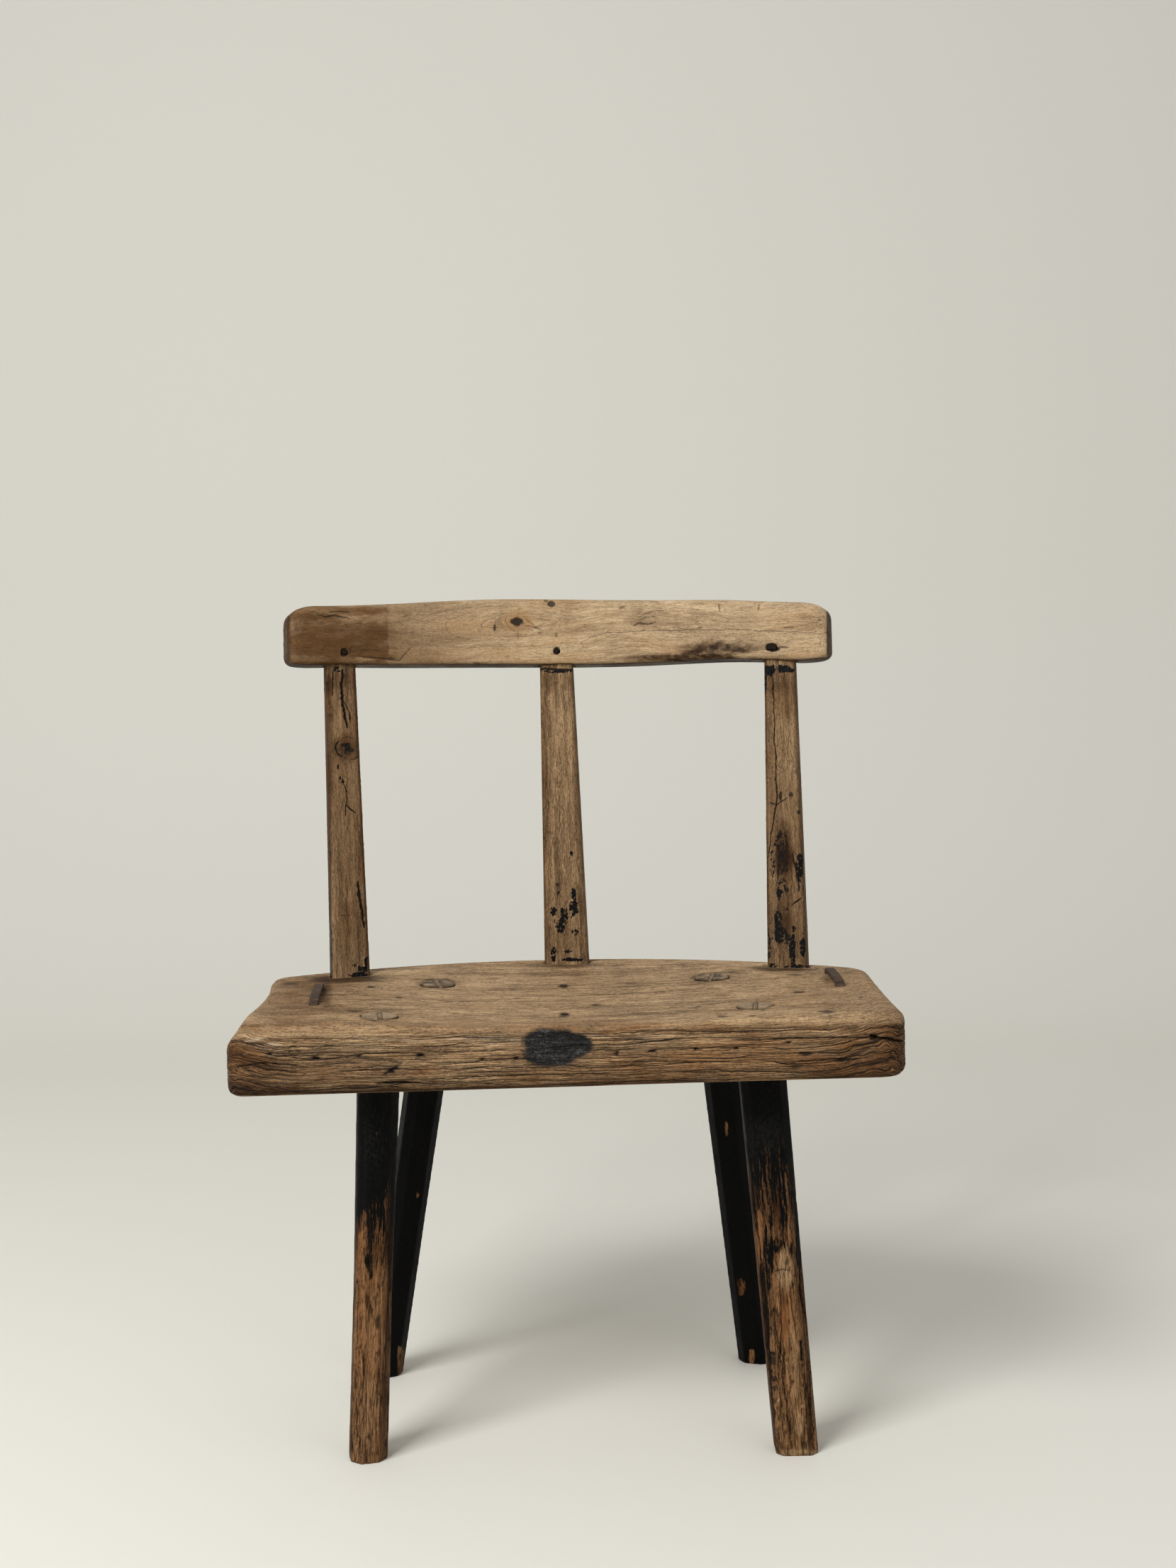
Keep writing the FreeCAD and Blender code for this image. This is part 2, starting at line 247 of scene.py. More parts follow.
def arrays(mesh):
    """A mesh's points in millimetres, and their normals."""
    return vectors(mesh.vertices, "co") / MM, vectors(mesh.vertex_normals, "vector")


def settle(piece):
    """Applies a piece's modifiers to its mesh."""
    graph = bpy.context.evaluated_depsgraph_get()
    made = bpy.data.meshes.new_from_object(piece.evaluated_get(graph))
    piece.modifiers.clear()
    piece.data = made


def fine_copy(node, voxel, easing, level=True, below=math.inf):
    """An evenly and finely meshed copy of a CAD node, its edges eased below a height."""
    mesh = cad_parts[node].data.copy()
    work = bmesh.new()
    work.from_mesh(mesh)
    bmesh.ops.remove_doubles(work, verts=work.verts, dist=1e-6)
    work.to_mesh(mesh)
    work.free()
    mesh.materials.clear()
    piece = add_object("worn_" + node, mesh)
    grid = piece.modifiers.new("grid", "REMESH")
    grid.mode = "VOXEL"
    grid.voxel_size = voxel * MM
    settle(piece)
    if easing:
        low = np.flatnonzero(arrays(piece.data)[0][:, 2] < below)
        piece.vertex_groups.new(name="eased").add(low.tolist(), 1.0, "REPLACE")
        ease = piece.modifiers.new("ease", "SMOOTH")
        ease.factor = 0.5
        ease.iterations = easing
        ease.use_z = level
        ease.vertex_group = "eased"
        settle(piece)
    return piece


def split(piece, choose, grain=None):
    """Halves the faces that choose picks, or only their edges across a grain."""
    mesh = piece.data
    centres = vectors(mesh.polygons, "center") / MM
    picked = np.flatnonzero(choose(centres, vectors(mesh.polygons, "normal")))
    work = bmesh.new()
    work.from_mesh(mesh)
    work.faces.ensure_lookup_table()
    edges = set()
    for index in picked:
        for edge in work.faces[index].edges:
            run = edge.verts[1].co - edge.verts[0].co
            if grain is None or abs(run.dot(grain)) < 0.7 * run.length:
                edges.add(edge)
    bmesh.ops.subdivide_edges(work, edges=list(edges), cuts=1, use_grid_fill=True)
    bmesh.ops.triangulate(work, faces=[f for f in work.faces if len(f.verts) > 4])
    work.to_mesh(mesh)
    work.free()


def near_marks(cracks, reach, holes=()):
    """Picks the faces within a few pixels of the marks."""

    def choose(centres, normals):
        pixels = photo_pixels(centres)
        close = np.zeros(len(centres), bool)
        for _, _, _, *path in cracks:
            close |= line(pixels, path, reach) > 0.2
        for u, v, half_u, half_v, *_ in holes:
            oval = (u, v, half_u + HOLE_MARGIN, half_v + HOLE_MARGIN)
            close |= spot(pixels, oval, 0.0) > 0.2
        return close & (seen(centres, normals) > 0.3)

    return choose


def store(mesh, name, values):
    """Keeps one value, or one vector, for each point of a mesh."""
    kind, key = ("FLOAT", "value") if values.ndim == 1 else ("FLOAT_VECTOR", "vector")
    layer = mesh.attributes.new(name, kind, "POINT")
    layer.data.foreach_set(key, values.astype(np.float32).ravel())


def carve(piece, points, grain, depth, **looks):
    """Moves points inwards from a piece's surface, and stores what it looks like."""
    mesh = piece.data
    moved = points - arrays(mesh)[1] * np.maximum(depth, 0)[:, None]
    moved[:, 2] = np.maximum(moved[:, 2], 0)
    mesh.vertices.foreach_set("co", (moved * MM).ravel())
    for name, values in {"grain": grain, **looks}.items():
        store(mesh, name, values)
    mesh.shade_smooth()
    mesh.update()


def dress(piece, node, material):
    """Puts a piece in the place of its CAD node."""
    piece.data.materials.append(material)
    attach(piece, "root")
    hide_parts(node)


def leaning_grain(points):
    """Coordinates along and across a long piece that leans."""
    heights = points[:, 2]
    low, high = np.quantile(heights, (0.1, 0.9))
    ends = []
    for height in (low, high):
        near = np.abs(heights - height) < (high - low) / 12
        ends.append(points[near].mean(axis=0))
    axis = (ends[1] - ends[0]) / np.linalg.norm(ends[1] - ends[0])
    side = np.cross([0, 1, 0], axis)
    side /= np.linalg.norm(side)
    offset = points - ends[0]
    return np.stack([offset @ axis, offset @ side, offset @ np.cross(axis, side)], axis=1)


# Materials

CRACK_AND_SHADE = (0.011, 0.0075, 0.005)
PAINT = (0.0020, 0.0020, 0.0021)
WORN_PAINT_AND_SHEEN = (0.0095, 0.0090, 0.0085)
SOOT_AND_SHADE = (0.23, 0.20, 0.165)
CHAR = (0.004, 0.004, 0.004)
ASH = ((0.42, (0.010, 0.0098, 0.0095)), (0.54, (0.034, 0.033, 0.031)), (0.68, (0.20, 0.19, 0.18)))
RUST = ((0.38, (0.028, 0.017, 0.011)), (0.52, (0.068, 0.040, 0.025)), (0.64, (0.13, 0.073, 0.040)))
PIT = (0.014, 0.010, 0.008)
DRY_ENDS = ((0.38, (0.11, 0.077, 0.047)), (0.50, (0.20, 0.142, 0.088)), (0.62, (0.31, 0.22, 0.135)))
# Light, middle and dark, bleached (also a painted highlight), end grain, stained (also the tint of
# painted shade) and warm
WOOD_TONES = {
    "seat_wood": (
        (0.62, 0.43, 0.24), (0.39, 0.252, 0.132), (0.15, 0.09, 0.044), (0.72, 0.57, 0.42),
        (0.2, 0.155, 0.105), (0.48, 0.345, 0.24), (0.42, 0.25, 0.125),
    ),
    "crest_wood": (
        (0.62, 0.46, 0.28), (0.43, 0.3, 0.17), (0.225, 0.145, 0.075), (0.75, 0.58, 0.38),
        (0.2, 0.14, 0.085), (0.25, 0.168, 0.088), (0.4, 0.215, 0.082),
    ),
    "slat_wood": (
        (0.44, 0.295, 0.16), (0.265, 0.165, 0.082), (0.095, 0.054, 0.025), (0.6, 0.44, 0.28),
        (0.2, 0.155, 0.105), (0.38, 0.27, 0.155), (0.36, 0.2, 0.08),
    ),
    "leg_wood": (
        (0.41, 0.23, 0.106), (0.205, 0.102, 0.043), (0.058, 0.029, 0.013), (0.44, 0.285, 0.15),
        (0.43, 0.305, 0.185), (0.36, 0.27, 0.2), (0.26, 0.105, 0.036),
    ),
}


class Finish:
    """A node material under construction, for a surface that stores its grain."""

    def __init__(self, name):
        self.material = bpy.data.materials.new(name)
        self.material.use_nodes = True
        self.tree = self.material.node_tree
        self.shader = self.tree.nodes["Principled BSDF"]
        self.grain = self.stored("grain", "Vector")

    def node(self, kind, inputs, **settings):
        made = self.tree.nodes.new("ShaderNode" + kind)
        for key, value in settings.items():
            setattr(made, key, value)
        for key, value in inputs.items():
            self.feed(made.inputs[key], value)
        return made

    def feed(self, socket, value):
        if isinstance(value, bpy.types.NodeSocket):
            self.tree.links.new(value, socket)
        else:
            socket.default_value = (*value, 1) if socket.type == "RGBA" else value

    def stored(self, name, output="Fac"):
        return self.node("Attribute", {}, attribute_name=name).outputs[output]

    def calc(self, operation, first, second=0.0):
        return self.node("Math", {0: first, 1: second}, operation=operation).outputs[0]

    def times(self, first, second):
        return self.calc("MULTIPLY", first, second)

    def blend(self, *shares):
        """The weighted sum of several values."""
        total = None
        for value, weight in shares:
            part = self.times(value, weight)
            total = part if total is None else self.calc("ADD", total, part)
        return total

    def between(self, value, low, high, start=0.0, end=1.0):
        """Maps low to start and high to end, and eases between them."""
        inputs = {"Value": value, "From Min": low, "From Max": high, "To Min": start, "To Max": end}
        return self.node("MapRange", inputs, interpolation_type="SMOOTHSTEP").outputs["Result"]

    def near_half(self, value, width):
        """1 where noise passes through its middle value: thin wandering lines."""
        off = self.calc("ABSOLUTE", self.calc("SUBTRACT", value, 0.5))
        return self.between(off, 0.0, width, 1.0, 0.0)

    def stretched(self, sizes):
        """The grain's coordinates, counted in waves of the given sizes."""
        waves = tuple(1 / size for size in sizes)
        return self.node("VectorMath", {0: self.grain, 1: waves}, operation="MULTIPLY").outputs[0]

    def cloud(self, vector, detail, roughness, distortion=0.0):
        inputs = {"Vector": vector, "Scale": 1.0, "Detail": detail, "Roughness": roughness}
        return self.node("TexNoise", {**inputs, "Distortion": distortion}).outputs["Fac"]

    def waves(self, sizes, *character):
        """Noise in waves of the given sizes along and across the grain."""
        return self.cloud(self.stretched(sizes), *character)

    def cell_walls(self, sizes):
        inputs = {"Vector": self.stretched(sizes), "Scale": 1.0, "Randomness": 1.0}
        return self.node("TexVoronoi", inputs, feature="DISTANCE_TO_EDGE").outputs["Distance"]

    def layer_cracks(self, length, gap, width):
        """Cracks that wander along the grain, one for each layer, and the layers' slopes."""
        inputs = {0: self.grain, 1: (0, 1 / gap, 1 / gap)}
        level = self.node("VectorMath", inputs, operation="DOT_PRODUCT").outputs["Value"]
        layer = self.times(self.calc("FLOOR", level), 3.7)
        along = self.node("SeparateXYZ", {"Vector": self.grain}).outputs["X"]
        along = self.calc("DIVIDE", along, length)
        row = self.node("CombineXYZ", {"X": along, "Y": layer, "Z": gap}).outputs["Vector"]
        wander = self.between(self.cloud(row, 4.0, 0.6), 0.25, 0.75, 0.1, 0.9)
        slope = self.calc("FRACT", self.calc("SUBTRACT", level, wander))
        other = self.calc("SUBTRACT", 1.0, slope)
        cracks = self.between(self.calc("MINIMUM", slope, other), width * 0.3, width, 1.0, 0.0)
        faded = self.cloud(self.node("VectorMath", {0: row, 1: (9, 9, 9)}).outputs[0], 3.0, 0.6)
        return self.times(cracks, self.between(faded, 0.40, 0.53)), slope

    def tones(self, value, stops):
        made = self.node("ValToRGB", {"Fac": value})
        ramp = made.color_ramp
        while len(ramp.elements) < len(stops):
            ramp.elements.new(0.5)
        for element, (place, colour) in zip(ramp.elements, stops):
            element.position = place
            element.color = (*colour, 1)
        return made.outputs["Color"]

    def mixed(self, share, first, second, mode="MIX"):
        inputs = {0: share, 6: first, 7: second}
        return self.node("Mix", inputs, data_type="RGBA", blend_type=mode).outputs[2]

    def lay(self, share, tone, mode="MIX"):
        """Lays a tone over the colour so far."""
        self.colour = self.mixed(share, self.colour, tone, mode)

    def lift(self, amount):
        """Adds to the height so far."""
        self.height = self.calc("ADD", self.height, amount)

    def finish(self, relief, shine):
        """Connects the surface; relief is the height's reach in millimetres."""
        bump = self.node("Bump", {"Strength": 1.0, "Distance": relief * MM, "Height": self.height})
        # The dark layer lays the crack colour on cracks and holes, and painted shade on the crest's
        # underside.
        self.lay(self.stored("dark"), CRACK_AND_SHADE)
        self.feed(self.shader.inputs["Base Color"], self.colour)
        self.feed(self.shader.inputs["Roughness"], self.rough)
        self.feed(self.shader.inputs["Normal"], bump.outputs["Normal"])
        self.shader.inputs["Specular IOR Level"].default_value = shine
        return self.material


def wood(name, marks, gloss, fibre):
    """Old wood: bands, fibres, grit, pores, stains, end grain and relief."""
    light, middle, dark, bleached_and_highlight, ends, stained_and_shaded, warm = WOOD_TONES[name]
    make = Finish(name)
    bands = make.waves((240, 9, 9), 3.0, 0.6, 0.6)
    fibres = make.waves((fibre, 0.9, 0.9), 5.0, 0.7, 0.3)
    mottle = make.waves((45, 20, 20), 5.0, 0.65)
    grit = make.waves((2.6, 1.2, 1.2), 3.0, 0.7)
    ticks = make.waves((6, 0.8, 0.8), 2.0, 0.5)
    rings = make.waves((130, 7, 7), 2.0, 0.5, 0.3)
    scores = make.waves((30, 2.4, 2.4), 3.0, 0.6, 0.4)
    value = make.blend((bands, 0.24), (fibres, 0.32), (mottle, 0.22), (grit, 0.22))
    make.colour = make.tones(value, ((0.425, dark), (0.50, middle), (0.59, light)))
    ring = make.times(make.near_half(rings, 0.020), make.between(mottle, 0.4, 0.6))
    score = make.times(make.near_half(scores, 0.016), make.between(bands, 0.45, 0.60))
    pores = make.between(ticks, 0.60, 0.70)
    for mark, strength in ((ring, marks * 0.7), (score, marks), (pores, marks)):
        make.lay(make.times(mark, strength), dark)
    # The pale layer lays bleached wood, and on the crest a painted highlight.
    make.lay(make.times(make.stored("pale"), make.between(fibres, 0.38, 0.56)), bleached_and_highlight)
    make.lay(make.times(make.stored("warm"), make.between(fibres, 0.35, 0.60, 0.4, 1.0)), warm)
    patchy = make.calc("SUBTRACT", make.blend((mottle, 0.6), (fibres, 0.4)), 0.5)
    patchy = make.times(patchy, 2.0)
    # The stain and soot layers also carry painted shade.
    for layer, tint in (("stain_and_shade", stained_and_shaded), ("soot_and_shade", SOOT_AND_SHADE)):
        share = make.stored(layer)
        spread = make.times(patchy, make.between(share, 0.0, 0.2))
        make.lay(make.between(make.calc("ADD", share, spread), 0.0, 1.0), tint, "MULTIPLY")
    shaded = tuple(part * 0.45 for part in ends)
    dull = make.tones(make.blend((grit, 0.5), (mottle, 0.5)), ((0.40, shaded), (0.58, ends)))
    make.lay(make.stored("end"), dull)
    relief = (fibres, 1.0), (grit, 0.5), (pores, -0.5), (ring, -0.25), (score, -0.4)
    make.height = make.blend(*relief)
    make.rough = make.between(mottle, 0.3, 0.7, gloss - 0.08, gloss + 0.12)
    return make


def add_cracks(make, length, gaps, width):
    """Dry wood split into long layers by cracks of several sizes, where dry is high, each layer
    with painted light and shade.
    """
    dry = make.stored("dry")
    ridges = make.waves((length * 0.7, gaps[1], gaps[1]), 3.0, 0.6)
    make.lay(dry, make.between(ridges, 0.36, 0.64, 0.70, 1.22), "MULTIPLY")
    weight = 1.0
    for gap in gaps:
        cracks, slope = make.layer_cracks(length, gap, width)
        # Painted light and shade: each layer is lighter at one crack and darker at the other.
        painted_light_and_shade = make.between(slope, 0.0, 1.0, 1 - 0.14 * weight, 1 + 0.14 * weight)
        make.lay(dry, painted_light_and_shade, "MULTIPLY")
        cracks = make.times(cracks, make.times(dry, weight))
        make.lay(cracks, CRACK_AND_SHADE)
        make.lift(make.blend((cracks, -1.3), (make.times(slope, dry), -0.6 * weight)))
        length, width, weight = length * 0.6, width * 1.35, weight * 0.8


def add_paint(make, streaky):
    """Black paint, worn off in streaks along the grain and in small chips, greyer where a sheen is
    painted and darker where shade is painted.
    """
    streaks = make.waves((34, 1.7, 1.7), 4.0, 0.62)
    chips = make.waves((8, 1.5, 1.5), 5.0, 0.7)
    flakes = make.waves((3, 3, 3), 4.0, 0.6)
    ragged = make.blend((streaks, streaky), (chips, 1.7), (flakes, 3.5 - streaky))
    cover = make.calc("ADD", make.stored("paint"), make.calc("SUBTRACT", ragged, 2.6))
    cover = make.between(cover, 0.46, 0.54)
    worn = make.blend((chips, 0.5), (flakes, 0.5), (make.stored("rubbed"), 0.12))
    make.lay(cover, make.mixed(make.between(worn, 0.52, 0.66), PAINT, WORN_PAINT_AND_SHEEN))
    make.rough = make.calc("ADD", make.times(cover, -0.10), make.rough)
    make.lift(make.times(cover, 0.35))


def add_burn(make):
    """Charred wood with pale ash on its ridges, soft at its edge."""
    specks = make.waves((2.2, 1.0, 1.0), 5.0, 0.75)
    blotches = make.waves((16, 6, 6), 3.0, 0.6)
    crazing = make.cell_walls((9, 4.5, 4.5))
    ash = make.tones(make.blend((specks, 0.55), (blotches, 0.45)), ASH)
    ash = make.mixed(make.between(crazing, 0.01, 0.05, 0.55, 0.0), ash, CHAR)
    fuzzy = make.times(make.calc("SUBTRACT", specks, 0.5), 1.4)
    share = make.between(make.calc("ADD", make.stored("char"), fuzzy), 0.22, 0.72)
    make.lay(share, ash)
    make.lift(make.times(share, make.between(crazing, 0.01, 0.08, -0.8, 0.0)))


def seat_wood():
    """Weathered plank, cracked at its edge and burnt in one place."""
    make = wood("seat_wood", marks=0.7, gloss=0.68, fibre=22)
    add_cracks(make, length=90, gaps=(7.0, 3.7, 2.0), width=0.064)
    add_burn(make)
    return make.finish(relief=0.8, shine=0.12)


def crest_wood():
    """Light wood, smoothed by hands."""
    make = wood("crest_wood", marks=0.7, gloss=0.50, fibre=15)
    return make.finish(relief=0.3, shine=0.16)


def slat_wood():
    """Worn brown wood with scraps of black paint."""
    make = wood("slat_wood", marks=0.75, gloss=0.55, fibre=8)
    add_cracks(make, length=40, gaps=(7.0, 3.4), width=0.035)
    add_paint(make, streaky=1.0)
    return make.finish(relief=0.4, shine=0.12)


def leg_wood():
    """Reddish bare wood, checked, under worn black paint."""
    make = wood("leg_wood", marks=0.6, gloss=0.55, fibre=14)
    add_cracks(make, length=60, gaps=(6.0, 3.1), width=0.075)
    add_paint(make, streaky=2.9)
    return make.finish(relief=0.7, shine=0.06)


def iron():
    """Rust brown forged iron."""
    make = Finish("forged_iron")
    blotches = make.waves((9, 5, 5), 5.0, 0.65)
    make.height = make.waves((1.2, 1.2, 1.2), 4.0, 0.7)
    make.colour = make.tones(blotches, RUST)
    make.lay(make.between(make.height, 0.54, 0.68), PIT)
    make.rough = make.between(blotches, 0.3, 0.7, 0.55, 0.85)
    make.shader.inputs["Metallic"].default_value = 0.2
    return make.finish(relief=0.3, shine=0.3)


def end_grain():
    """Checked end grain of the tenons' wedges and the pegs."""
    make = Finish("dry_end_grain")
    make.colour = make.tones(make.waves((9, 2, 4), 5.0, 0.65), DRY_ENDS)
    make.height = make.waves((0.8, 0.8, 0.8), 3.0, 0.6)
    make.rough = 0.8
    return make.finish(relief=0.3, shine=0.12)


# Seat plank

FRONT = cad_box[0][1] / MM
UNDERSIDE = 330
EDGE_DEPTH = 16
CORNER_START = (272, -90)
END_START = 232
SEAT_MIDDLE = -8
# Where something begins and where it is full: places across and heights
GNARLED = (205, 290)
DRY_BELOW = (395, 389)
PALE_ABOVE = (372, 388)
SHADED_BELOW = (364, 345)
WORN_CORNER = ((-296, 60, 399), (-281, -150, 401.5), (-294.5, -175, 382))

SEAT_CRACKS = (
    (1.7, 3, 1, 1228, 1461, 6, 3, 16, 1, 15, 2, 15, 2),
    (1, 1.2, 0.9, 1078, 1466, 42, -1, 50, -1, 62, 0),
    (0.9, 1, 0.8, 834, 1468, 36, -2, 35, 2, 55, -1), (0.9, 1, 0.8, 640, 1484, 60, -2, 42, 1),
    (0.8, 0.8, 0.7, 590, 1482, 50, 2, 28, -1), (1.2, 1.2, 0.8, 330, 1506, 40, -6, 50, 3),
    (1, 1, 0.8, 385, 1489, 55, 6, 60, -3, 60, 5), (2, 1.6, 1, 529, 1529, 31, -2, 25, 1),
    (3, 1, 1, 543, 1515, 9, -4, 6, -5, 4, -6), (0.9, 0.6, 1, 746, 1487, 16, 0, 17, -1),
    (0.9, 0.6, 1, 789, 1477, 17, -2, 20, -1), (1, 1, 0.8, 860, 1500, 70, -3, 70, 2),
    (1.2, 1.2, 0.8, 1100, 1501, 70, -7, 45, 0),
    (0.9, 0.8, 0.8, 406, 1480, 5, -4, 7, 1, 3, 6, -5, 7, -7, -2, -3, -8),
    (1.6, 0.3, 0.9, 508, 1433, 12, 4, 18, 2, 22, -3),
    (0.9, 0.2, 0.6, 1041, 1418, 12, 4, 22, 2, 16, -5),
    (0.8, 0.2, 0.6, 590, 1386, 10, -4, 25, -1, 18, 3),
    (0.8, 0.2, 0.6, 976, 1379, 14, -6, 25, -2, 19, 0),
    (0.5, 0.1, 0.4, 470, 1412, 70, -2, 80, 4, 80, -3),
    (0.6, 0.1, 0.5, 800, 1404, 80, -2, 80, -6, 90, -5, 70, -2),
    (0.5, 0.1, 0.4, 860, 1398, 80, -8, 70, -4), (0.5, 0.1, 0.4, 900, 1424, 80, -4, 80, -12),
    (0.6, 0.1, 0.5, 380, 1402, 60, 2, 80, -3),
)
SEAT_HOLES = (
    (592, 1489, 5, 3.2, 2, 1), (680, 1495, 5, 2.4, 2, 1), (728, 1493, 4.5, 2.2, 2, 1),
    (869, 1486.5, 4, 3.4, 2, 0.9), (921.5, 1483, 5, 2.2, 2, 1), (981, 1479.7, 4.5, 2, 2, 1),
    (1039.5, 1478.5, 3.5, 2, 2, 1), (1111, 1471, 4, 2.2, 2, 1), (445.5, 1493, 6, 2.2, 2, 1),
    (504, 1490, 3, 1.8, 1.5, 0.9), (380, 1487.5, 4, 2, 1.5, 0.9), (552, 1511, 5, 4, 1, 0.9),
    (1137, 1486.3, 10, 2.6, 0.8, 0.9), (1189, 1495.5, 10, 2.6, 0.8, 0.9),
    (1123, 1505, 9, 3.2, 0.6, 0.7), (1233, 1464, 6, 4, 1.8, 0.9),
    (795.5, 1390.5, 8, 3, 0.4, 0.75), (796, 1430.5, 8, 3.4, 0.4, 0.75),
    (411, 1387.5, 12, 2.2, 0.2, 0.5), (523.5, 1391.7, 8, 1.3, 0.4, 0.9),
    (501.5, 1425.7, 9, 1.7, 0.5, 0.65), (643, 1429, 6, 1.2, 0.2, 0.45),
    (695.5, 1380, 8, 1.6, 0.2, 0.45), (673, 1403, 6, 1, 0.1, 0.3), (730, 1408, 5, 1.1, 0.2, 0.6),
    (564, 1406.7, 4, 1, 0.2, 0.8), (840.5, 1417, 7, 1.2, 0.2, 0.85),
    (891, 1387, 9, 0.9, 0.2, 0.6), (1127.5, 1399, 9, 1.4, 0.3, 0.85),
    (1121, 1374.7, 12, 1.6, 0.2, 0.5), (1061, 1432.5, 5, 1, 0.2, 0.8),
    (1019, 1433.6, 7, 1.4, 0.2, 0.7), (1166.5, 1426.5, 11, 1.7, 0.3, 0.8),
    (1215, 1406, 4.5, 1.3, 0.2, 0.7), (1060, 1388, 5, 0.9, 0.1, 0.4),
)
# Stains, and painted shade: darker patches at the slats' feet and round the tenons, painted shadows
# beside the staples, and a dark band along the bottom of the front edge.
SEAT_STAINS_AND_SHADE = (
    (617, 1387, 30, 6, 0.15, 0.55), (1004, 1377, 34, 6, 0.15, 0.6),
    (1036, 1370, 18, 3, 0.2, 0.45), (536, 1436, 30, 5, 0.15, 0.1), (1066, 1420, 24, 3, 0.05, 0.3),
    (1018, 1404, 15, 2.6, 0.5, 0.1), (460, 1402, 8, 18, 0.2, 0.45),
    (1168, 1376, 8, 12, 0.2, 0.35), (500, 1383, 60, 7, 0.2, 0.4), (490, 1380, 44, 5, 0.2, 0.8),
    (1110, 1366, 50, 4, 0.2, 0.8), (800, 1361, 60, 4, 0.2, 0.55), (410, 1410, 60, 50, 0.3, 0.16),
    (480, 1405, 90, 22, 0.22, 0.1), (700, 1448, 420, 9, 0.42, 0),
    (1190, 1410, 90, 40, 0.16, 0.06), (1262, 1432, 22, 26, 0.2, 0.15),
    (345, 1505, 40, 44, 0.12, 0.12), (430, 1510, 130, 34, 0.26, 0.12),
    (372, 1473, 40, 6, 0, 0.25), (1255, 1480, 34, 40, 0.15, 0.15),
    (1160, 1500, 80, 12, 0.2, 0.12), (1000, 1500, 300, 40, 0.34, 0.03),
    (700, 1520, 380, 16, 0.1, 0), (800, 1540, 480, 7, 0.4, 0.3),
)
# Rubbed spots: half width and strength, then the place and the steps
SEAT_PALE = (
    (2.6, 1, 340, 1477, 6, -7, 14, -3, 16, -1), (2.8, 1, 352, 1480, 14, -4, 14, -2, 18, 0),
    (2.4, 0.9, 344, 1488, 8, -4, 14, -3, 16, 0), (2, 0.7, 352, 1493, 14, -4, 24, -1),
    (1.8, 0.6, 385, 1483, 13, -1, 6, 2), (2.6, 0.6, 630, 1467, 50, -3, 65, 2),
    (2, 0.5, 690, 1472, 25, -2, 23, 3), (2.4, 0.6, 815, 1462, 30, 0, 29, 4),
    (2, 0.4, 500, 1466, 60, 0, 60, 4), (2.2, 1, 1157, 1432, 9, 0),
)
# The burn: middle, half width, half height, and how square it is
BURNS = ((777, 1478, 38, 27, 3.2), (804, 1475, 32, 18, 2.0))


def plane_off(points, corners):
    """Wears points down to a plane, softly along its border."""
    first, second, third = np.array(corners, float)
    normal = np.cross(third - first, second - first)
    normal /= np.linalg.norm(normal)
    over = (points - first) @ normal
    return points - np.outer((over + np.hypot(over, 2.0)) / 2, normal)


def seat_edge(centres, _):
    """Picks the faces of the fissured front edge and of the two worn corners."""
    x, y, z = centres.T
    corners = (np.abs(x) > CORNER_START[0]) & (y < CORNER_START[1])
    return ((y < FRONT + EDGE_DEPTH) | corners) & (z > UNDERSIDE)


def burnt(points, pixels):
    """How charred the burn leaves each point."""
    char = np.zeros(len(points))
    for u, v, half_u, half_v, power in BURNS:
        reach = np.abs(pixels - (u, v)) / (half_u, half_v)
        reach = (reach**power).sum(axis=1) ** (1 / power)
        char = np.maximum(char, smooth(reach + 0.07 * layered(points / 7, 81, 2), 1.18, 0.72))
    return char


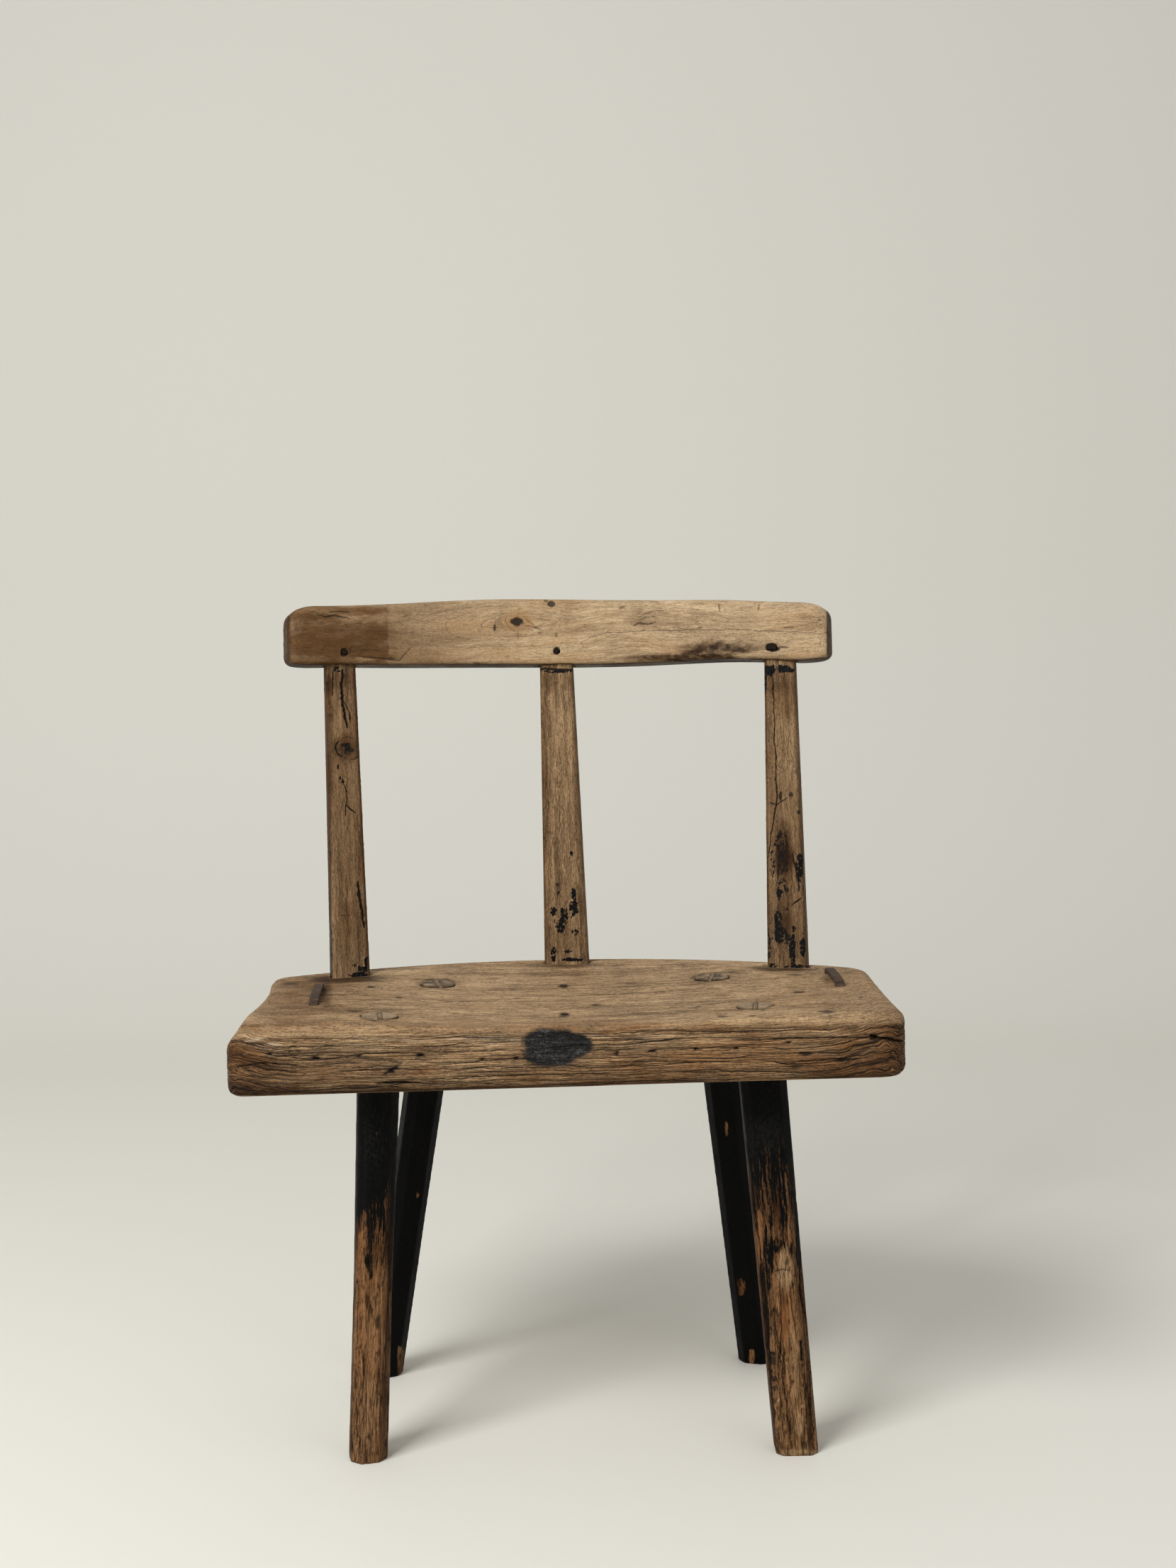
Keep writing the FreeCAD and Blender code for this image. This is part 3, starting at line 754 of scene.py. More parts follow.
def make_seat():
    """The plank: dished top, fissured front edge, gnarled ends and a burn."""
    piece = fine_copy("seat_plank", voxel=3.2, easing=1)
    along = Vector((1, 0, 0))
    split(piece, seat_edge, along)
    split(piece, lambda c, n: seat_edge(c, n) & (np.abs(c[:, 0]) < END_START), along)
    split(piece, lambda c, n: seat_edge(c, n) & (np.abs(c[:, 0]) >= END_START))
    points, normals = arrays(piece.data)
    points = plane_off(points, WORN_CORNER)
    pixels = photo_pixels(points)
    shown = seen(points, normals)

    ends = smooth(np.abs(points[:, 0] - SEAT_MIDDLE), *GNARLED)
    side = smooth(np.hypot(normals[:, 0], normals[:, 1]), 0.30, 0.75)
    low = smooth(points[:, 2] + 2 * layered(points / (30, 9, 9), 17, 2), *DRY_BELOW)
    dry = side * low
    swirl = layered(points / (13, 12, 9), 21, 2)
    wander = layered(points / (46, 14, 14), 11, 2)
    bend = wander * 0.8 * (1 - ends) + ends * (5.0 * swirl - 9 * ends)
    warped = points + np.stack([wander * 5, wander * 2, bend], axis=1)

    width = 0.075 + 0.06 * layered(points / (40, 12, 10), 15, 2)
    long = splits(warped / (85, 6, 5.4), 5, width, 2)
    fine = splits(warped / (38, 4, 3.4), 8, width * 0.8, 2)
    short = smooth(0.09 - walls(warped / (15, 5, 4.4), 9), 0, 0.09)
    fissures = np.maximum(long, 0.6 * fine)
    fissures = np.maximum(fissures, short * (0.15 + 0.5 * ends)) * dry
    grooves = layered(warped / (60, 2.6, 2.6), 31, 3)
    depth = 0.15 + 0.25 * (1 + grooves) * dry + 0.06 * grooves
    depth += fissures * 0.8 + 0.3 * ends * side * (1 + swirl)
    depth += 0.15 * (1 + layered(points / (130, 60, 30), 41, 2))
    dark = (0.35 + 0.45 * ends) * smooth(fissures, 0.35, 1.0)
    marked, marks = drawn(points, shown, SEAT_CRACKS, SEAT_HOLES)
    depth += marked
    dark = np.maximum(dark, marks)

    pale = dry * smooth(points[:, 2], *PALE_ABOVE) * smooth(-grooves, 0.0, 0.5)
    pale *= 0.35 * (1 - ends) * smooth(layered(points / (80, 30, 30), 97), -0.3, 0.4)
    wavering = pixels + wobble(points)
    for reach, strength, *path in SEAT_PALE:
        mask = line(wavering, path, reach) * shown * (1 - dark)
        pale = np.maximum(pale, strength * mask)
        depth -= 0.3 * mask

    brown, grime_and_shade = stained_and_shaded(points, shown, SEAT_STAINS_AND_SHADE, (30, 12, 5))
    stain_and_shade = 0.02 + 0.20 * layered(points / (60, 40, 20), 71) + (0.24 + 0.36 * ends) * dry
    stain_and_shade += brown
    soot_and_shade = 0.02 + 0.14 * layered(points / (40, 40, 9), 73) + 0.14 * ends * dry
    # Painted shade: the underside and the lower part of the sides are made darker.
    soot_and_shade += grime_and_shade + 0.35 * smooth(-normals[:, 2], 0.3, 0.9)
    soot_and_shade += 0.40 * side * smooth(points[:, 2], *SHADED_BELOW)
    char = burnt(points, pixels) * shown
    soot_and_shade += 0.5 * smooth(char, 0.0, 0.3)
    depth += 0.4 * char + 0.4 * char * splits(points / (12, 3, 2.6), 91, 0.12)
    dry = np.maximum(dry, 0.28 * (1 - side))
    end = 0.5 * smooth(np.abs(normals[:, 0]), 0.75, 0.97)
    looks = {"dark": dark, "dry": dry, "stain_and_shade": stain_and_shade, "soot_and_shade": soot_and_shade, "pale": pale}
    carve(piece, points, warped * (1, 0.3, 1), depth, char=char, end=end, **looks)
    return piece


# Crest rail

BOW_RADIUS = 752.0
BOW_MIDDLE = (-4.3, 148.0)
GRAIN_WAVES = ((-128, 6), (60, -4), (188, 5))
WAVE_REACH = 42
# In the photograph: the knot, where each tone or rim begins and is full, and
# two lines on the rail's left end
KNOT = (730, 877)
KNOT_REACH = (42, 26)
LEFT_SIDE = (620, 400)
BROWN_SIDE = (780, 560)
TONE_BORDER = (546, 549)
LEFT_RIM = (412, 407)
RIGHT_RIM = (1165, 1168)
LEFT_EDGE = (408, 868, 2, 22, 0, 35)
LEFT_GLINT = (409, 870, 2, 5, 1, 15)

CREST_CRACKS = (
    (0.6, 0.2, 0.6, 817, 907, 18, -8, 21, -7, 32, -1, 62, -2, 64, -1, 78, 2, 75, 4),
    (1.1, 0.5, 0.75, 446, 867, 14, 3, 14, -2, 18, 4), (1, 0.4, 0.65, 466, 863, 12, -1, 16, 2),
    (0.8, 0.2, 0.4, 432, 861, 23, 5, 32, 6), (0.6, 0.2, 0.5, 500, 916, 20, 1, 28, 2),
    (0.9, 0.4, 0.75, 504, 926, 23, 2, 20, 2, 16, 2, 5, -6, 8, -9),
    (0.8, 0.3, 0.8, 487, 924, 6, -3, 1, -6), (1.1, 0.5, 0.7, 894, 884, 9, -5, 9, 2, 11, -3),
    (0.9, 0.4, 0.6, 901, 876, 11, -5, 12, -1), (0.7, 0.2, 0.45, 899, 875, 7, -7, 12, -5, 22, -3),
    (2, 0.8, 1, 752, 940, 20, 0, 40, 1), (0.8, 0.3, 0.7, 1014, 852, 0, 6, 3, 6),
    (0.8, 0.3, 0.6, 1071, 852, -1, 6, 1, 5), (0.6, 0.2, 0.5, 730, 889, 1, 7, 2, 8),
    (0.6, 0.2, 0.5, 716, 869, -3, 8, 5, 9, 9, 4), (0.9, 0.3, 0.6, 741, 882, 11, 3, 14, 4),
    (0.7, 0.2, 0.5, 739, 871, 11, 8, 7, 7),
    (0.5, 0.2, 0.35, 655, 867, -15, 4, -9, 6, -3, 7, 4, 7, 10, 7, 35, 7),
    (0.6, 0.2, 0.4, 700, 873, -16, 3, -6, 6, 4, 7, 10, 4),
    (0.5, 0.1, 0.25, 640, 859, -35, 9, -17, 10, -6, 10, 4, 8),
    (0.5, 0.1, 0.35, 700, 855, -45, 3, -43, 7, -42, 5),
    (1.6, 0.5, 0.9, 948, 932, 42, 2, 50, -2, 34, -1),
    (0.5, 0.1, 0.4, 600, 911, 60, 2, 90, -2, 50, 3), (0.8, 0.2, 0.7, 1105, 885, 13, -1),
    (0.9, 0.2, 0.8, 983, 886, 8, -1), (0.5, 0.1, 0.35, 1000, 862, 14, 5, 14, 8, -10, 5),
    (0.5, 0.1, 0.3, 1095, 872, 25, 8, 40, 4),
)
CREST_HOLES = (
    (485, 922, 4.2, 3.6, 0.6, 1), (785, 920, 4.4, 3.4, 0.6, 1), (1091, 915.5, 8.5, 3.6, 0.6, 1),
    (1104, 913, 8, 1.6, 0.3, 0.7), (730, 877, 8.5, 6, 1, 0.95), (778, 852, 5.5, 4.5, 0.8, 0.85),
    (770, 847, 3, 2.5, 0.5, 0.6), (698, 885.5, 1.8, 5.5, 0.3, 0.8), (762, 893, 3, 1.8, 0.3, 0.4),
    (785, 896, 2, 3, 0.2, 0.5), (877.5, 857, 4, 1.6, 0.3, 0.45), (672, 936, 5, 1.6, 0.2, 0.5),
    (1156, 875, 3, 1.2, 0.2, 0.6), (552, 930, 5, 2, 0.3, 0.6),
)
# Stains, and painted shade along the rail's bottom edge.
CREST_STAINS_AND_SHADE = (
    (500, 898, 60, 26, 0.3, 0.14), (520, 908, 34, 18, 0.12, 0.1), (462, 866, 60, 7, 0.2, 0),
    (470, 926, 78, 14, 0.34, 0.12), (424, 900, 18, 40, 0.22, 0.06),
    (580, 925, 40, 14, 0.15, 0.05), (730, 878, 18, 11, 0.3, 0), (772, 862, 12, 16, 0.22, 0.08),
    (936, 930, 46, 10, 0.2, 0.2), (975, 915, 22, 8, 0.3, 0.3), (1004, 911, 24, 9, 0.3, 0.38),
    (1021, 921, 28, 11, 0.3, 0.5), (1052, 913, 22, 10, 0.3, 0.4), (985, 929, 90, 7, 0.35, 0.45),
    (1005, 915, 84, 20, 0.22, 0.14), (1085, 915, 14, 8, 0.15, 0.2), (912, 872, 28, 12, 0.3, 0.05),
    (1040, 875, 40, 10, 0.15, 0.05), (640, 940, 250, 4, 0.35, 0.1), (1115, 931, 60, 5, 0.35, 0.2),
)
CREST_WARM = (
    (730, 878, 22, 15, 0.7), (660, 884, 44, 16, 0.35), (470, 862, 70, 8, 0.5),
    (600, 925, 120, 12, 0.25),
)


def crest_grain(points, pixels, shown):
    """The bowed rail's grain, which parts around its knot and waves elsewhere."""
    turned = points[:, :2] - (BOW_MIDDLE[0], BOW_MIDDLE[1] - BOW_RADIUS)
    angle = np.arctan2(turned[:, 0], turned[:, 1])
    bow = [angle * BOW_RADIUS, np.hypot(*turned.T) - BOW_RADIUS, points[:, 2]]
    grain = np.stack(bow, axis=1)
    across, down = (pixels - KNOT).T
    knot = np.exp(-((across / KNOT_REACH[0]) ** 2) - (down / KNOT_REACH[1]) ** 2) * shown
    grain[:, 2] += 8 * knot * np.tanh(down / 6)
    for middle, lift in GRAIN_WAVES:
        grain[:, 2] += lift * np.exp(-(((points[:, 0] - middle) / WAVE_REACH) ** 2))
    return grain


def make_crest():
    """The bowed rail: smooth, hand-worn, with a knot, cracks and stains."""
    piece = fine_copy("crest_rail", voxel=1.95, easing=1)
    for _ in range(2):
        split(piece, near_marks(CREST_CRACKS, 3.0, CREST_HOLES))
    points, normals = arrays(piece.data)
    pixels = photo_pixels(points)
    shown = seen(points, normals)
    grain = crest_grain(points, pixels, shown)

    depth = 0.08 + 0.08 * layered(points / (90, 30, 16), 101)
    depth += 0.06 * layered(grain / (40, 2, 2), 103)
    marked, dark = drawn(points, shown, CREST_CRACKS, CREST_HOLES)
    depth += marked
    brown, grime_and_shade = stained_and_shaded(points, shown, CREST_STAINS_AND_SHADE, (26, 9, 5))
    streaks = smooth(layered(grain / (4, 3, 2.2), 117), -0.5, 0.4)
    stain_and_shade = 0.03 + 0.12 * layered(grain / (80, 22, 14), 115) + brown
    soot_and_shade = 0.06 * layered(grain / (50, 9, 5), 116) + grime_and_shade * (0.35 + 0.95 * streaks)

    # Its left end is browner, up to a sharp border
    left = smooth(pixels[:, 0], *LEFT_SIDE)
    border = smooth(pixels[:, 0] + 1.5 * noise(points / 5, 118), *TONE_BORDER)
    browner = (0.58 + 0.45 * layered(grain / (30, 9, 7), 122)) * (1 - border)
    browner += (0.46 * smooth(pixels[:, 0], *BROWN_SIDE)) * border
    stain_and_shade = (stain_and_shade * (1 - 0.8 * border * left) + browner) * shown
    warm = 0.35 * smooth(layered(grain / (60, 14, 10), 121), -0.1, 0.5)
    warm = np.maximum(warm, patches(pixels, CREST_WARM, 0.4 * streaks - 0.2, **STAIN_EDGE))
    warm = np.maximum(warm, 0.9 * line(pixels, LEFT_EDGE, 2.2)) * shown

    # Its ends are dark, and its underside is darkened: painted shade
    facing = smooth(-normals[:, 1], -0.6, -0.2)
    rim = smooth(pixels[:, 0] + 1.5 * noise(points / 6, 120), *LEFT_RIM)
    rim = np.maximum(rim, smooth(pixels[:, 0], *RIGHT_RIM)) * facing
    ends = smooth(np.abs(normals[:, 0]), 0.80, 0.95)
    underside_shade = smooth(-normals[:, 2], 0.55, 0.95)
    stain_and_shade = np.maximum(stain_and_shade, np.maximum(np.maximum(ends, rim), 0.8 * underside_shade))
    soot_and_shade = np.maximum(soot_and_shade, 0.3 * np.maximum(rim, underside_shade))
    dark = np.maximum(dark, np.maximum(0.40 * rim, 0.65 * underside_shade))
    worn = smooth(layered(grain / (30, 9, 9), 119), -0.2, 0.5)
    pale = 0.4 * smooth(normals[:, 2], 0.25, 0.7) * worn
    # A painted highlight on the left end's corner, laid on as pale wood.
    glint = line(pixels, LEFT_GLINT, 2.5) * shown
    pale = np.maximum(pale, 0.9 * glint) * (1 - rim)
    looks = {"dark": dark, "stain_and_shade": stain_and_shade, "soot_and_shade": soot_and_shade, "pale": pale, "warm": warm}
    carve(piece, points, grain, depth, **looks)
    return piece


# Back slats

# How brown and how sooty each slat is all over
SLAT_TONES = {
    "left_back_slat": (0.4, 0.05),
    "centre_back_slat": (0.06, 0.03),
    "right_back_slat": (0.28, 0.05),
}
SLAT_CRACKS = {
    "left_back_slat": (
        (0.9, 1, 1, 469, 946, 1, 16, -1, 18), (1.8, 2, 1, 485, 944, -2, 23, 1, 24, 4, 25, 2, 11),
        (0.9, 1.2, 1, 486, 990, 7, 14, 2, 16), (1.3, 0.8, 1, 480, 1046, -5, 4, -2, 5, 4, 7, 6, 4),
        (0.8, 0.4, 0.8, 494, 1071, 8, 0, 6, -4), (0.6, 0.4, 0.5, 484, 1041, 8, -1, 8, 3),
        (0.8, 1, 1, 483, 1098, 4, 12, 2, 18, 0, 24), (1, 1, 1, 490, 1134, 5, 7, 8, 6),
        (0.8, 0.4, 0.7, 486, 1070, 6, -6, 2, -6), (2, 2, 1, 505, 1245, 3, 21, 4, 21, 3, 21),
        (0.7, 0.2, 0.5, 475, 1292, 11, 0, 11, -1), (1, 0.4, 0.6, 503, 1030, 5, 6, -1, 6),
    ),
    "centre_back_slat": (
        (1.7, 0.5, 1, 757, 944, 23, 0, 32, 1), (0.6, 0.2, 0.5, 790, 1120, -1, 30, 2, 22),
        (0.5, 0.2, 0.4, 774, 1088, 0, 42, 2, 20), (0.5, 0.1, 0.3, 797, 1040, 2, 40, 1, 20),
    ),
    "right_back_slat": (
        (0.8, 1.6, 0.85, 1088, 946, 3, 35, 1, 27, 1, 40, 2, 29, 1, 57, -7, 37, -6, 41, -2, 23),
        (0.9, 0.4, 0.9, 1084, 1132, 13, 2, 14, -8), (1.2, 1, 1, 1117, 1204, 7, 26, 3, 29),
        (0.8, 0.5, 0.9, 1101, 1170, -4, 16, 3, 19, -2, 35),
        (0.7, 0.5, 0.8, 1107, 1176, 4, 20, -3, 26, 2, 24),
        (0.6, 0.4, 0.7, 1115, 1216, 4, 24, 2, 22), (1.1, 0.6, 1, 1118, 1276, 6, -4, 6, -4),
        (0.5, 0.2, 0.4, 1104, 990, 1, 40, 2, 40),
    ),
}
SLAT_HOLES = {
    "left_back_slat": (
        (477, 1082, 1.6, 3.4, 0.5, 1), (480, 1098, 1.8, 2.6, 0.6, 1), (484, 1103, 2.2, 2, 0.6, 1),
        (486, 1051, 5.6, 2.4, 0.5, 1), (491, 1054, 3.4, 6, 0.6, 1),
        (495, 1058, 4.6, 2.6, 0.5, 0.95), (488, 1060, 2.4, 4.4, 0.4, 0.85),
        (490, 1056, 11, 9, 0.15, 0.3),
    ),
    "centre_back_slat": (),
    "right_back_slat": (
        (1101, 1123, 2, 6, 0.5, 0.9), (1116, 1121, 3, 3.6, 0.5, 0.8),
        (1127, 1146, 3, 3.2, 0.5, 0.8), (1110, 1256, 3, 3, 0.3, 0.9),
    ),
}
SLAT_PAINT = {
    "left_back_slat": (
        (503, 1376, 14, 4.5, 1), (510, 1370, 6, 8, 0.8), (499, 1360, 3, 5, 0.6),
        (516, 1360, 3, 10, 0.9), (466, 1340, 3, 44, 0.7), (463, 1290, 2.5, 40, 0.5),
        (462, 1100, 2, 120, 0.35), (476, 945, 8, 4, 0.8),
    ),
    "centre_back_slat": (
        (807, 1205, 3.5, 4.5, 0.75), (786, 1250, 4, 4, 0.55), (787, 1259, 4, 3.5, 0.55),
        (809, 1262, 4, 8, 0.85), (781, 1286, 4.5, 7, 0.7), (796, 1288, 6, 8, 0.8),
        (809, 1282, 6, 11, 0.9), (795, 1298, 5, 7, 0.8), (791, 1309, 7, 8, 0.8),
        (783, 1300, 4, 3, 0.6), (812, 1315, 5, 5, 0.75), (781, 1345, 4, 13, 0.8),
        (801, 1342, 9, 2, 0.75), (806, 1354, 18, 3, 0.9), (785, 947, 22, 2.5, 0.8),
    ),
    "right_back_slat": (
        (1085, 946, 11, 8, 1), (1106, 944, 14, 5, 0.95), (1079, 960, 4, 18, 0.7),
        (1103, 1190, 11, 20, 0.55), (1106, 1216, 9, 20, 0.5), (1098, 1178, 5, 8, 0.6),
        (1128, 1222, 5, 22, 0.9), (1103, 1250, 6, 14, 0.55), (1098, 1263, 3.5, 9, 0.8),
        (1109, 1281, 4, 4, 0.7), (1098, 1298, 6, 14, 0.8), (1100, 1318, 12, 14, 0.7),
        (1112, 1328, 10, 8, 0.6), (1120, 1310, 4, 5, 0.7), (1118, 1343, 4, 22, 0.85),
        (1133, 1338, 4, 18, 0.85), (1092, 1362, 8, 4, 0.85), (1124, 1364, 16, 3.5, 0.85),
        (1084, 1330, 3, 30, 0.6), (1090, 1215, 3, 24, 0.6),
    ),
}
# Stains, and painted shade in thin strips along the left and centre slats' left edges.
SLAT_STAINS_AND_SHADE = {
    "left_back_slat": (
        (490, 1056, 20, 20, 0.3, 0.25), (500, 1300, 24, 40, 0.2, 0), (500, 1230, 20, 30, 0.15, 0),
        (464, 1180, 5, 230, 0.35, 0.4), (480, 960, 30, 16, 0.15, 0.2),
    ),
    "centre_back_slat": (
        (786, 960, 26, 18, 0.25, 0.12), (800, 1330, 30, 30, 0.22, 0.1),
        (792, 1270, 30, 30, 0.1, 0), (769, 1150, 4, 200, 0.3, 0.1),
    ),
    "right_back_slat": (
        (1110, 985, 18, 34, 0.25, 0.1), (1108, 1250, 28, 110, 0.15, 0.12),
        (1106, 1195, 14, 32, 0.4, 0.42), (1104, 1218, 10, 18, 0.3, 0.35),
        (1101, 1300, 12, 26, 0.2, 0.32), (1120, 1330, 20, 40, 0.12, 0.12),
        (1096, 960, 22, 20, 0.15, 0.3),
    ),
}


def make_slat(node):
    """A flat slat with eased, slightly ragged edges."""
    cracks, holes = SLAT_CRACKS[node], SLAT_HOLES[node]
    piece = fine_copy(node, voxel=1.3, easing=2)
    for _ in range(2):
        split(piece, near_marks(cracks, 2.6, holes))
    points, normals = arrays(piece.data)
    pixels = photo_pixels(points)
    shown = seen(points, normals)
    grain = leaning_grain(points)
    seed = int(abs(points[:, 0].mean()))
    bent = grain + np.outer(layered(points / 9, seed + 3, 2), (0, 1.0, 1.0))
    depth = 0.03 + 0.08 * layered(grain / (55, 24, 24), seed)
    depth += 0.06 * (1 + layered(bent / (30, 1.8, 1.8), seed + 5))
    edge = smooth(np.abs(normals[:, 0]), 0.4, 0.9)
    depth += 0.15 * edge * (1 + layered(grain / (12, 9, 9), seed + 9))
    marked, dark = drawn(points, shown, cracks, holes)
    depth += marked
    ragged = 0.6 * layered(points / 3, 123, 3)
    paint = 0.42 * smooth(layered(grain / (40, 14, 14), seed + 17), 0.1, 0.5) * (1 - shown)
    paint = np.maximum(paint, patches(pixels, SLAT_PAINT[node], ragged) * shown)
    brown, grime_and_shade = stained_and_shaded(points, shown, SLAT_STAINS_AND_SHADE[node], (5, 5, 16))
    browner, sootier = SLAT_TONES[node]
    # The side faces are made browner and darker: painted shade.
    stain_and_shade = browner + 0.24 * layered(grain / (60, 16, 16), seed + 21) + 0.45 * edge + brown
    soot_and_shade = sootier + 0.14 * layered(bent / (30, 8, 8), seed + 23) + grime_and_shade
    dry = 0.40 + 0.4 * smooth(layered(grain / (70, 20, 20), seed + 27), -0.1, 0.5)
    looks = {"dark": dark, "stain_and_shade": stain_and_shade, "soot_and_shade": soot_and_shade, "dry": dry}
    carve(piece, points, bent, depth, paint=paint * 1.25 - 0.25, **looks)
    return piece


# Legs

LEG_HEIGHT = 345
TENON_START = 380
TENON_TOP = (396, 398.5)

# The shares of the leg's height between which the paint fades, the depth of
# the checks, and how many times the hewn edges are eased
LEG_WEAR = {
    "front_left_leg": (0.46, 0.82, 0.5, 24),
    "front_right_leg": (0.48, 0.94, 1.1, 10),
    "rear_left_leg": (-0.4, 0.16, 0.2, 3),
    "rear_right_leg": (-0.4, 0.14, 0.2, 3),
}
LEG_CRACKS = {
    "front_left_leg": (
        (1.6, 0.6, 0.9, 520, 1700, 1, 40, 1, 52), (0.8, 0.4, 0.7, 505, 1830, -2, 70, -2, 60),
        (0.8, 0.4, 0.7, 519, 1820, 5, 30, 7, 22, -4, 18), (1, 0.5, 0.8, 540, 1700, 5, 40, -4, 50),
    ),
    "front_right_leg": (
        (0.9, 1, 0.9, 1090, 1843, 9, 57, 9, 70, 8, 73),
        (2.6, 1.6, 1, 1076, 1800, 6, 70, 4, 70, 4, 78),
        (0.7, 0.5, 0.7, 1101, 1825, 2, 35, -1, 25), (0.6, 0.5, 0.7, 1113, 1888, 1, 62, 1, 82),
        (1, 1, 0.9, 1128, 1800, 6, 40, 5, 45), (2.6, 1.8, 1, 1132, 1892, -1, 14, 2, 14),
        (1.6, 0.8, 0.8, 1106, 1905, 0, 20), (0.8, 0.4, 0.9, 1092, 1793, 11, -3, 15, 5),
        (0.9, 0.8, 0.8, 1141, 1920, 3, 60, 5, 60), (0.9, 0.8, 0.9, 1064, 1700, 6, 50, 6, 50),
    ),
    "rear_left_leg": ((0.6, 0.2, 0.3, 569, 1560, 0, 12),),
    "rear_right_leg": ((0.9, 0.4, 0.9, 1056, 1904, 2, 20),),
}
LEG_PAINT = {
    "front_left_leg": (
        (524, 1720, 7, 44, 1), (522, 1780, 5, 22, 0.75), (547, 1660, 7, 50, 0.7),
        (508, 1700, 5, 36, 0.6), (538, 1730, 4, 50, 0.55), (515, 1750, 3, 40, 0.55),
        (550, 1760, 3, 60, 0.6),
    ),
    "front_right_leg": (
        (1088, 1768, 4, 26, 0.8), (1097, 1756, 6, 13, 0.75), (1106, 1750, 4, 10, 0.65),
        (1117, 1764, 4, 14, 0.65), (1079, 1756, 3, 30, 0.65), (1088, 1700, 4, 40, 0.8),
        (1104, 1705, 7, 44, 0.75), (1127, 1740, 5, 50, 0.85), (1080, 1790, 9, 36, 0.6),
        (1078, 1850, 5, 60, 0.5),
    ),
    "rear_left_leg": (),
    "rear_right_leg": (),
}
LEG_BARE = {
    "front_left_leg": (
        (531, 1600, 2, 14, 0.45), (546, 1700, 4, 34, 0.5), (512, 1735, 6, 30, 0.6),
    ),
    "front_right_leg": (
        (1072, 1745, 5, 40, 0.8), (1108, 1800, 14, 34, 1), (1108, 1850, 16, 40, 1),
        (1112, 1950, 22, 80, 1),
    ),
    "rear_left_leg": ((566, 1920, 6, 22, 0.8), (589, 1686, 2.5, 6, 0.9),),
    "rear_right_leg": (
        (1045.5, 1815, 7, 12, 0.75), (1060, 1913, 4, 11, 0.9), (1025, 1592, 2, 12, 0.9),
    ),
}
LEG_WARM = {
    "front_left_leg": (
        (524, 1880, 18, 120, 0.45), (536, 1760, 8, 60, 0.5), (508, 1740, 8, 50, 0.5),
        (523, 2000, 14, 50, 0.3),
    ),
    "front_right_leg": (
        (1107, 1858, 9, 38, 1), (1114, 1940, 8, 70, 0.5), (1071, 1745, 6, 56, 0.5),
        (1098, 1690, 8, 50, 0.4),
    ),
    "rear_left_leg": ((566, 1925, 6, 22, 0.5),),
    "rear_right_leg": (
        (1046, 1815, 9, 14, 0.9), (1060, 1913, 5, 12, 0.9), (1025, 1592, 3, 12, 1),
    ),
}
LEG_PALE = {
    "front_left_leg": ((527, 1880, 14, 60, 0.3), (523, 1990, 12, 50, 0.45),),
    "front_right_leg": (
        (1109, 1790, 11, 32, 0.85), (1118, 1930, 9, 60, 0.55), (1098.5, 1976, 2.4, 2.4, 1),
        (1131, 1984, 3, 2.4, 1), (1128, 2010, 8, 14, 0.6), (1125, 2050, 26, 5, 0.8),
    ),
    "rear_left_leg": ((566, 1920, 6, 22, 0.4),),
    "rear_right_leg": ((1060, 1913, 4, 11, 0.8), (1025, 1592, 2, 12, 0.7),),
}
# Painted sheen on the front legs' paint, and painted shade on the rear legs' paint
LEG_SHEEN_AND_SHADE = {
    "front_left_leg": (525, 1612, 18, 40, 0.5),
    "front_right_leg": (1082, 1602, 24, 26, 1),
    "rear_left_leg": (600, 1750, 400, 400, -0.8),
    "rear_right_leg": (1040, 1750, 400, 400, -0.8),
}


